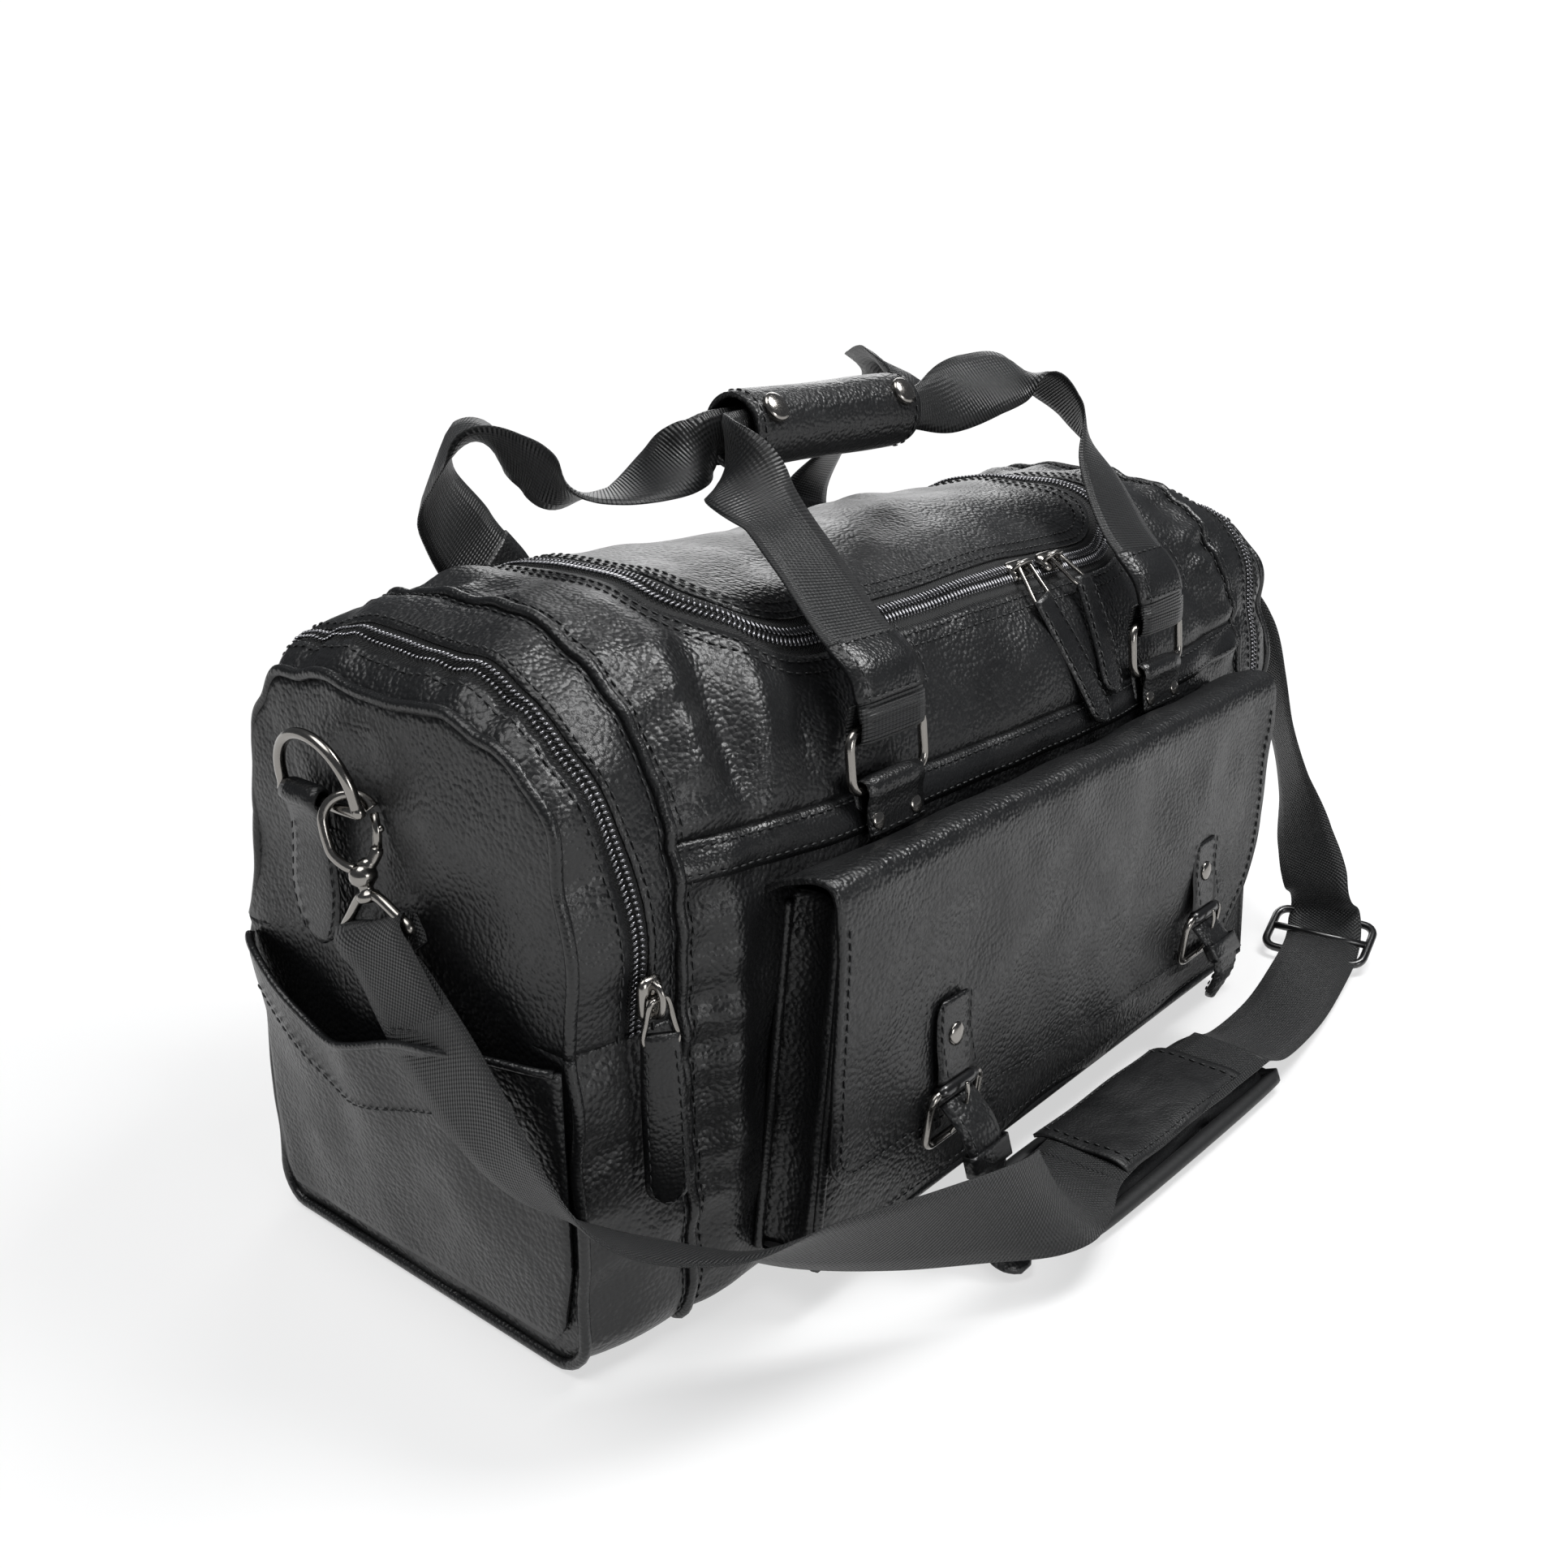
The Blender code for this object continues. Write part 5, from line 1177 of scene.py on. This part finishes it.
# leather grip rolled round both handles, its edge lapped and snapped
mid = np.array([0, 0, bagTop + grab["gripUp"]])
xs = np.linspace(grab["gripFrom"], grab["gripTo"], 60)
turn = np.linspace(-.35, 2 * math.pi + .10, 64)
pinch = hump(xs, grab["gripFrom"], .004) + hump(xs, grab["gripTo"], .004)
swell = (1 + .02 * np.sin(xs * 70) - .05 * pinch)[:, None]
lap = 1 + .075 * np.clip((turn - 5.6) / .6, 0, 1)[None, :]
roll = np.stack([np.broadcast_to(xs[:, None], (60, 64)),
                 mid[1] - grab["gripY"] * np.cos(turn - 2.2)[None, :] * swell * lap,
                 mid[2] + grab["gripZ"] * np.sin(turn - 2.2)[None, :] * swell * lap], -1)
sheet("gripWrap", roll, "hide", "handle_front", thick=.0022, inner="rolled", stands=("grip_wrap",),
      facing=lambda c: c - mid)
for x in (grab["gripFrom"] + .004, grab["gripTo"] - .004):
    line = np.stack([np.full(60, x), mid[1] - grab["gripY"] * np.cos(np.linspace(0, 6.0, 60) - 2.2) * 1.01,
                     mid[2] + grab["gripZ"] * np.sin(np.linspace(0, 6.0, 60) - 2.2) * 1.01], 1)
    stitch("handle_front", line, (line - mid) * (0, 1, 1))
for x in (grab["gripFrom"] + .012, grab["gripTo"] - .012):
    out = np.array((0, -math.cos(.62), math.sin(.62)))
    at = mid + (x, 0, 0) + out * (grab["gripZ"] + .0006)
    profile = [(.0063, -.002), (.0063, .0003), (.0060, .0008), (.0050, .0014), (.0034, .0019), (.0016, .0021),
               (.0003, .0022)]
    points, faces = lathe(at, out, profile, 28)
    meshPiece("gripSnap" + ("Left" if x < 0 else "Right"), points, faces, "gunmetal", "handle_front",
              solid=True)
print("handles made")

# ---- sliders and pulls
pullTab = {"wide": .0150, "thick": .0030, "wire": .0010}


def loftParts(rings):
    rings = np.asarray(rings, float)
    return rings.reshape(-1, 3), capped(*rings.shape[:2])


def wireLoop(corners, near):
    # a closed wire with four rounded corners
    loop = []
    for k in range(4):
        p, q = corners[k], corners[(k + 1) % 4]
        loop += [p * (1 - near) + q * near, p * .5 + q * .5, p * near + q * (1 - near)]
    return smoothPath(loop, 5, True)


def sliderParts(at, out, along):
    u, v, n = basis(out, along)
    rings = []
    for lift, wide, long in ((-.0006, .0040, .0066), (.0002, .0049, .0075), (.0016, .0050, .0076),
                             (.0026, .0044, .0068), (.0031, .0034, .0056)):
        rings.append([at + n * lift + v * py + u * px for px, py in roundedLoop(long * 2, wide * 2, .0030,
                                                                                4)])
    bridge = [at + n * k + u * m for k, m in ((.0022, -.0056), (.0052, -.0046), (.0064, -.0018),
                                              (.0064, .0018), (.0052, .0044), (.0022, .0054))]
    return [loftParts(rings), tubeParts(smoothPath(bridge, 4), .0011, hint=v, flat=1.5, sides=8)]


def pull(label, body, pin, foot, tip, normal, wide=pullTab["wide"]):
    pin, foot, tip = (np.asarray(p, float) for p in (pin, foot, tip))
    down = (tip - foot) / np.linalg.norm(tip - foot)
    normal = np.asarray(normal, float)
    normal = normal - down * (normal @ down)
    normal /= np.linalg.norm(normal)
    side = np.cross(normal, down)
    side = side if side[0] > 0 else -side
    x = np.array((1.0, 0, 0))
    corners = [pin - x * .0040, pin + x * .0040, foot + side * .0062, foot - side * .0062]
    tube("pullWire" + label, wireLoop(corners, .14), pullTab["wire"], "gunmetal", body, closed=True,
         hint=normal)
    length = np.linalg.norm(tip - foot)
    run = np.concatenate([np.linspace(-.004, length - wide * .5, 24),
                          length - wide * .5 * (1 - np.sin(np.linspace(.15, math.pi / 2 * .97, 10)))])
    widths = wide * np.where(run < length - wide * .5, np.interp(run, [-.004, .004, .02], [.86, .90, 1]),
                             np.sqrt(np.clip(1 - ((run - length + wide * .5) / (wide * .5)) ** 2, .01, 1)))
    path = foot + down * run[:, None] + normal * (.0010 * np.sin(run / length * math.pi))[:, None]
    ribbon("pullTab" + label, path, side, widths, pullTab["thick"], "rolled", body, cup=.0004)
    edge = [path[i] + side * s * max(widths[i] / 2 - .0018, .0004) for s in (-1, 1)
            for i in (range(3, 31) if s < 0 else range(30, 2, -1))]
    for flip in (-1, 1):
        stitch(body, np.array(edge) + normal * flip * (pullTab["thick"] / 2 + .0003), normal * flip)


for label, x, foot, tip in (("left", .036, (-.004, -.0150, -.0155), (.012, -.0385, -.0660)),
                            ("right", .062, (.007, -.0130, -.0130), (.0005, -.0345, -.0570))):
    at, normal = skin(x, aFront, .0016, False), outAt(x, aFront)
    joined("mainSlider" + label.title(), sliderParts(at, normal, (1, 0, 0)), "gunmetal",
           "zip_slider_" + label, stands=("zip_slider_" + label,))
    pin = np.array((x, -.0743 if x < .05 else -.0740, .2352))
    pull("Main" + label.title(), "zip_pull_" + label, pin, pin + foot, pin + tip, (0, -1, .4))
for side, label in ((-1, "left"), (1, "right")):
    x = side * float(endZipX(np.array([aFold]))[0])
    at = skin(x, aFold + .011, .0010, False) + (0, -.0004, 0)
    joined("endSlider" + label.title(), sliderParts(at, (0, -1, 0), (0, 0, 1)), "gunmetal",
           "end_slider_" + label, stands=("end_slider_" + label,))
    pin = np.array((x, -.107254, .139638))
    hang = np.array((0, -.03, -1)) / math.hypot(.03, 1)
    pull("End" + label.title(), "end_pull_" + label, pin, pin + hang * .016, pin + hang * .074,
         (side * .62, -.78, 0))
for node in ("zip_pull_left", "zip_pull_right", "end_pull_left", "end_pull_right"):
    label = ("Main" if node.startswith("zip") else "End") + node.split("_")[-1].title()
    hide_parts(node)

# ---- D-rings and snap hooks
hook = {"dY": .0165, "dZ": .187, "dHalf": .0205, "dX": half + .0078, "radius": .0088, "wire": .0018}
strapBar = {}
for side, label in ((-1, "left"), (1, "right")):
    cap = label.title()
    dY, dZ, dHalf, dX, r = (hook[k] for k in ("dY", "dZ", "dHalf", "dX", "radius"))
    flat = [(-dHalf + .002, 0), (dHalf - .002, 0), (dHalf, .002)]
    flat += [(dHalf * math.cos(t), .0045 + dHalf * math.sin(t)) for t in np.linspace(0, math.pi,
                                                                                     15)] + [(-dHalf, .002)]
    lean = np.array([side * .18, 0, 1]) / math.hypot(.18, 1)
    loop = smoothPath([np.array((side * dX, dY - u, dZ)) + lean * v for u, v in flat], 5, True)
    tube("dRing" + cap, loop, .0021, "gunmetal", "d_ring_" + label, closed=True, hint=(side, 0, 0), sides=14,
         stands=("d_ring_" + label,))
    # teardrop patch folded round the straight side of the ring
    cy, faceX = dY + .0085, half + .0012
    path = smoothPath([(side * (faceX + .0045), cy + .003, .131), (side * (faceX + .0050), cy + .002, .150),
                       (side * (faceX + .0050), cy + .001, .170), (side * (dX + .0008), cy, .1815),
                       (side * (dX + .0040), cy, .1868), (side * (dX + .0012), cy, .1910),
                       (side * (dX - .0026), cy, .1890), (side * (faceX + .0030), cy, .176)], 7)
    run = runOf(path)
    widths = np.interp(run, [0, .002, .006, .012, .022, .036, .05, .2],
                       [.006, .013, .020, .025, .028, .025, .021, .020])
    ribbon("dRingPatch" + cap, path, (0, 1, 0), widths, .0022, "rolled", "end_door_" + label,
           stands=("d_ring_tab_" + label,))
    pick = [i for i in range(len(path)) if .003 < run[i] < .044]
    for sy in (-1, 1):
        stitch("end_door_" + label, np.array([path[i] + (side * .0014, sy * (widths[i] / 2 - .0022), 0)
                                              for i in pick]), (side, 0, 0))

    wide = np.array((-side * .64, -.77, 0))
    down = np.array((side * .05, -.35, -.93))
    down /= np.linalg.norm(down)
    wide -= down * (wide @ down)
    wide /= np.linalg.norm(wide)
    across = np.cross(wide, down)
    top = np.array((side * dX, dY - dHalf + .0062, dZ)) - down * .0054
    mid = top + down * r
    on = lambda u, v: mid + wide * u + down * v
    curve = [on(r * math.cos(t), -r * math.sin(t)) for t in np.linspace(.25, math.pi, 10)]
    curve += [on(-r, .005), on(-r * .92, .0100), on(-r * .50, .0150), on(0, .0172)]
    path = smoothPath(curve, 5)
    wires = np.interp(runOf(path), [0, .003, .01, 1], [.0026, .0021, .0018, .0020])
    parts = [tubeParts(path, wires, hint=across, sides=12)]
    profile = [(.0020, .0148), (.0034, .0156), (.0046, .0172), (.0049, .0190), (.0046, .0208), (.0032, .0222),
               (.0024, .0232), (.0024, .0242), (.0038, .0250), (.0042, .0262), (.0038, .0276), (.0020, .0284)]
    parts.append(lathe(on(0, 0), down, profile, 22))
    shoulder = smoothPath([on(0, .0168), on(r * .42, .0152), on(r * .82, .0110)], 5)
    parts.append(tubeParts(shoulder, [.0030] * 5 + [.0024] * 5 + [.0019], hint=across, sides=12))
    foot = on(0, .0262)
    barDir = np.array((0, -.96, .28))
    barDir /= np.linalg.norm(barDir)
    barMid = foot + down * .0120
    corners = [foot - barDir * .005, foot + barDir * .005, barMid + barDir * .0205, barMid - barDir * .0205]
    parts.append(tubeParts(wireLoop(corners, .12), .0019, closed=True, hint=across, sides=12))
    joined("snapHook" + cap, parts, "gunmetal", "snap_hook_" + label, stands=("snap_hook_" + label,))
    pivot, tip = on(r * .78, .0112), on(r * .98, -.0005)
    parts = [tubeParts([pivot, pivot * .5 + tip * .5 + wide * .0006, tip], [.0017, .0015, .0016], hint=across,
                       sides=12), lathe(on(r * .88, .0052), wide,
                                        [(.0012, 0), (.0013, .0022), (.0009, .0028)], 12)]
    joined("hookGate" + cap, parts, "gunmetal", "hook_gate_" + label, stands=("hook_gate_" + label,))
    strapBar[label] = (barMid, barDir)
print("hardware made")

# ---- shoulder strap, its pad and slide
strap = {"wide": .038, "thick": .0017}
bx, sy, sz = -.26089, -.01243, .14812
strapKeys = {"left": [(bx - .0005, sy - .001, sz - .0072, 0, -.96, .28),
                      (bx - .001, sy - .012, sz - .020, 0, -.85, .45), (-.269, -.066, .106, 0, -.8, .55),
                      (-.268, -.090, .087, -.2, -.8, .55), (-.256, -.113, .070, -.5, -.7, .35),
                      (-.230, -.133, .059, -.3, -.8, .35), (-.198, -.149, .052, 0, -.6, .7),
                      (-.162, -.166, .046, 0, -.3, .95), (-.122, -.181, .040, 0, .1, 1),
                      (-.096, -.184, .033, .1, .6, .75), (-.078, -.177, .023, .1, .98, .15),
                      (-.062, -.170, .0185, .04, 1, 0), (-.050, -.167, .0175, .04, 1, 0)],
             "right": [(.080, -.171, .0175, 0, 1, 0), (.100, -.172, .0115, 0, 1, 0),
                       (.150, -.167, .0055, .1, 1, 0), (.195, -.160, .0050, .1, 1, .05),
                       (.230, -.154, .0100, .1, 1, .1), (.244, -.148, .022, .1, 1, .2),
                       (.244, -.142, .038, .2, 1, .25), (.252, -.130, .058, .4, .9, .2),
                       (.264, -.116, .082, .6, .7, .1), (.274, -.102, .108, .6, .6, 0),
                       (.280, -.088, .135, .5, .8, .1), (.284, -.074, .160, .3, .9, .3),
                       (.285, -.058, .176, .1, .9, .4), (.283, -.044, .174, 0, .96, -.1),
                       (.277, -.037, .166, 0, .96, -.2)], }


def webbing(name, keys, count, **more):
    path = evenly(smoothPath(keys, 10), count)
    return ribbon(name, path[:, :3], path[:, 3:6], strap["wide"], strap["thick"], "strap", **more), path


leftStrap, leftPath = webbing("strapLeft", strapKeys["left"], 150, body=None, stands=("strap_left",))
rightStrap, rightPath = webbing("strapRight", strapKeys["right"], 200, body=None, stands=("strap_right",))
# the ends hang from the hooks, which are on the end pockets' doors
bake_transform(leftStrap)
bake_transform(rightStrap)
overPad, _ = webbing("strapOverPad", [(-.052, -.1672, .0176, .04, 1, 0), (-.03, -.166, .0172, .03, 1, 0),
                                      (.0, -.167, .0170, .02, 1, 0), (.04, -.169, .0172, .02, 1, 0),
                                      (.082, -.1711, .0174, 0, 1, 0)], 50, body="shell")
for side, label in ((-1, "left"), (1, "right")):
    barMid, barDir = strapBar[label]
    ahead = (leftPath[6, :3] - leftPath[0, :3]) if side < 0 else (rightPath[-7, :3] - rightPath[-1, :3])
    ahead /= np.linalg.norm(ahead)
    n = np.cross(ahead, barDir)
    n /= np.linalg.norm(n)
    keys = [barMid + ahead * k + n * m for k, m in ((.046, .0024), (.030, .0024), (.012, .0030),
                                                    (.002, .0034), (-.0034, .0006), (-.0006, -.0030),
                                                    (.006, -.0026), (.012, -.0012))]
    path = smoothPath(keys, 6)
    ribbon("strapFold" + label.title(), path, barDir, strap["wide"], strap["thick"], "strap",
                           "end_door_" + label)
    line = np.array([barMid + ahead * .036 + barDir * k + n * .0035 for k in np.linspace(-.014, .014, 12)])
    stitch("end_door_" + label, line, n)
    stitch("end_door_" + label, line + ahead * .006, n)

pad = {"outline": [(-.058, -.138), (.078, -.144), (.094, -.150), (.095, -.158), (.086, -.184), (.078, -.190),
                   (-.058, -.186), (-.074, -.180), (-.077, -.170), (-.073, -.147)], "voxel": .0045,
       "pressure": 4.0, "cap": .006}


def padMesh():
    rim = closedEven(smoothPath([(x, y, 0) for x, y in pad["outline"]], 8, True), 96)
    centre = rim.mean(0)
    rings = []
    for scale, z in ((.30, .0012), (.70, .0012), (.93, .0016), (1, .0050), (.985, .0075), (.90, .0098),
                     (.6, .0112), (.25, .0116)):
        ring = centre + (rim - centre) * scale
        ring[:, 2] = z
        rings.append(ring)
    return rim, loftParts(rings)


padRim, (points, faces) = padMesh()
padPiece = meshPiece("shoulderPad", points, faces, "smooth", "shell", solid=True, stands=("shoulder_pad",))
# the filling swells the pad
remesh = padPiece.modifiers.new("remesh", "REMESH")
remesh.mode, remesh.voxel_size = "VOXEL", pad["voxel"]
bake(padPiece)
before = np.array([v.co[:] for v in padPiece.data.vertices])
cloth = padPiece.modifiers.new("cloth", "CLOTH")
cloth.settings.use_pressure, cloth.settings.uniform_pressure_force = True, pad["pressure"]
cloth.settings.effector_weights.gravity = 0
for frameNumber in range(1, 21):
    scene.frame_set(frameNumber)
bake(padPiece)
scene.frame_set(1)
after = np.array([v.co[:] for v in padPiece.data.vertices])
move = after - before
size = np.linalg.norm(move, axis=1)[:, None]
after = before + move * np.minimum(1, pad["cap"] / np.maximum(size, 1e-9))
after[:, 2] = np.clip(after[:, 2], .0004, .0165)
padPiece.data.vertices.foreach_set("co", after.ravel())
padPiece.data.update()
print("pad filled")
padPiece.data.polygons.foreach_set("use_smooth", [True] * len(padPiece.data.polygons))
smoother = padPiece.modifiers.new("smooth", "SUBSURF")
smoother.levels = smoother.render_levels = 1
rim = padRim + (0, 0, .0058)
tube("padBinding", rim, .0030, "binding", "shell", closed=True, hint=(0, 0, -1), sides=12, flat=1.25)
sleeve = {"corners": np.array([(-.0400, -.1400), (.0560, -.1430), (.0600, -.1880), (-.0420, -.1850)]),
          "low": .0165, "rise": .0038, "hem": (.07, .05)}


def sleevePoint(u, v, lift=0.0):
    u, v = (k[..., None] for k in np.broadcast_arrays(u, v))
    c = sleeve["corners"]
    xy = (c[0] * (1 - u) + c[1] * u) * (1 - v) + (c[3] * (1 - u) + c[2] * u) * v
    z = sleeve["low"] + lift + sleeve["rise"] * np.clip(1 - np.abs(v * 2 - 1) ** 5, 0, 1)
    return np.concatenate([xy, z + .0006 * waves(u * .1, v * .05, .05, 71)], -1)


u, v = np.linspace(0, 1, 50), np.linspace(0, 1, 26)
sheet("padSleeve", sleevePoint(u[None, :], v[:, None]), "smooth", "shell", thick=.0016, inner="smooth",
      facing=lambda c: c * 0 + (0, 0, 1))
hemV, hemU = sleeve["hem"]
for line in ((u[3:-3], hemV), (u[3:-3], 1 - hemV), (hemU, v[2:24]), (1 - hemU, v[2:24])):
    stitch("shell", sleevePoint(*line, lift=.0004), (0, 0, 1))

# the slide
along, across = np.array((1, .12, 0)) / math.hypot(1, .12), np.array((-.12, 1, 0)) / math.hypot(1, .12)
glide = [np.array((.236, -.150, .0120)) + along * a + across * b + (0, 0, .45 * a)
         for a, b in roundedLoop(.027, .051, .006, 6)]
middleBar = [np.array((.236, -.150, .0128)) + across * b for b in (-.024, 0, .024)]
parts = [tubeParts(closedEven(glide, 80), .0022, closed=True, sides=12, hint=(0, 0, 1)),
         tubeParts(middleBar, .0020, sides=12)]
slide = joined("triGlide", parts, "lacquer", "shell", stands=("tri_glide",))
print("strap laid")

# ---- rivets and stitches
for body, parts in rivets.items():
    joined("rivets." + body, parts, "gunmetal", body)
thread = {"long": .0030, "wide": .0008, "spacing": .0043}
stitchShape = shapeOf("stitchShape", *bar(thread["long"], thread["wide"], thread["wide"], 5, 6, bow=.0001))
for body, lines in stitchLines.items():
    repeatAlong("stitches." + body, lines, stitchShape, thread["spacing"], "thread", body)
for made in patterns:
    bpy.data.objects.remove(made, do_unlink=True)
print("stitched")
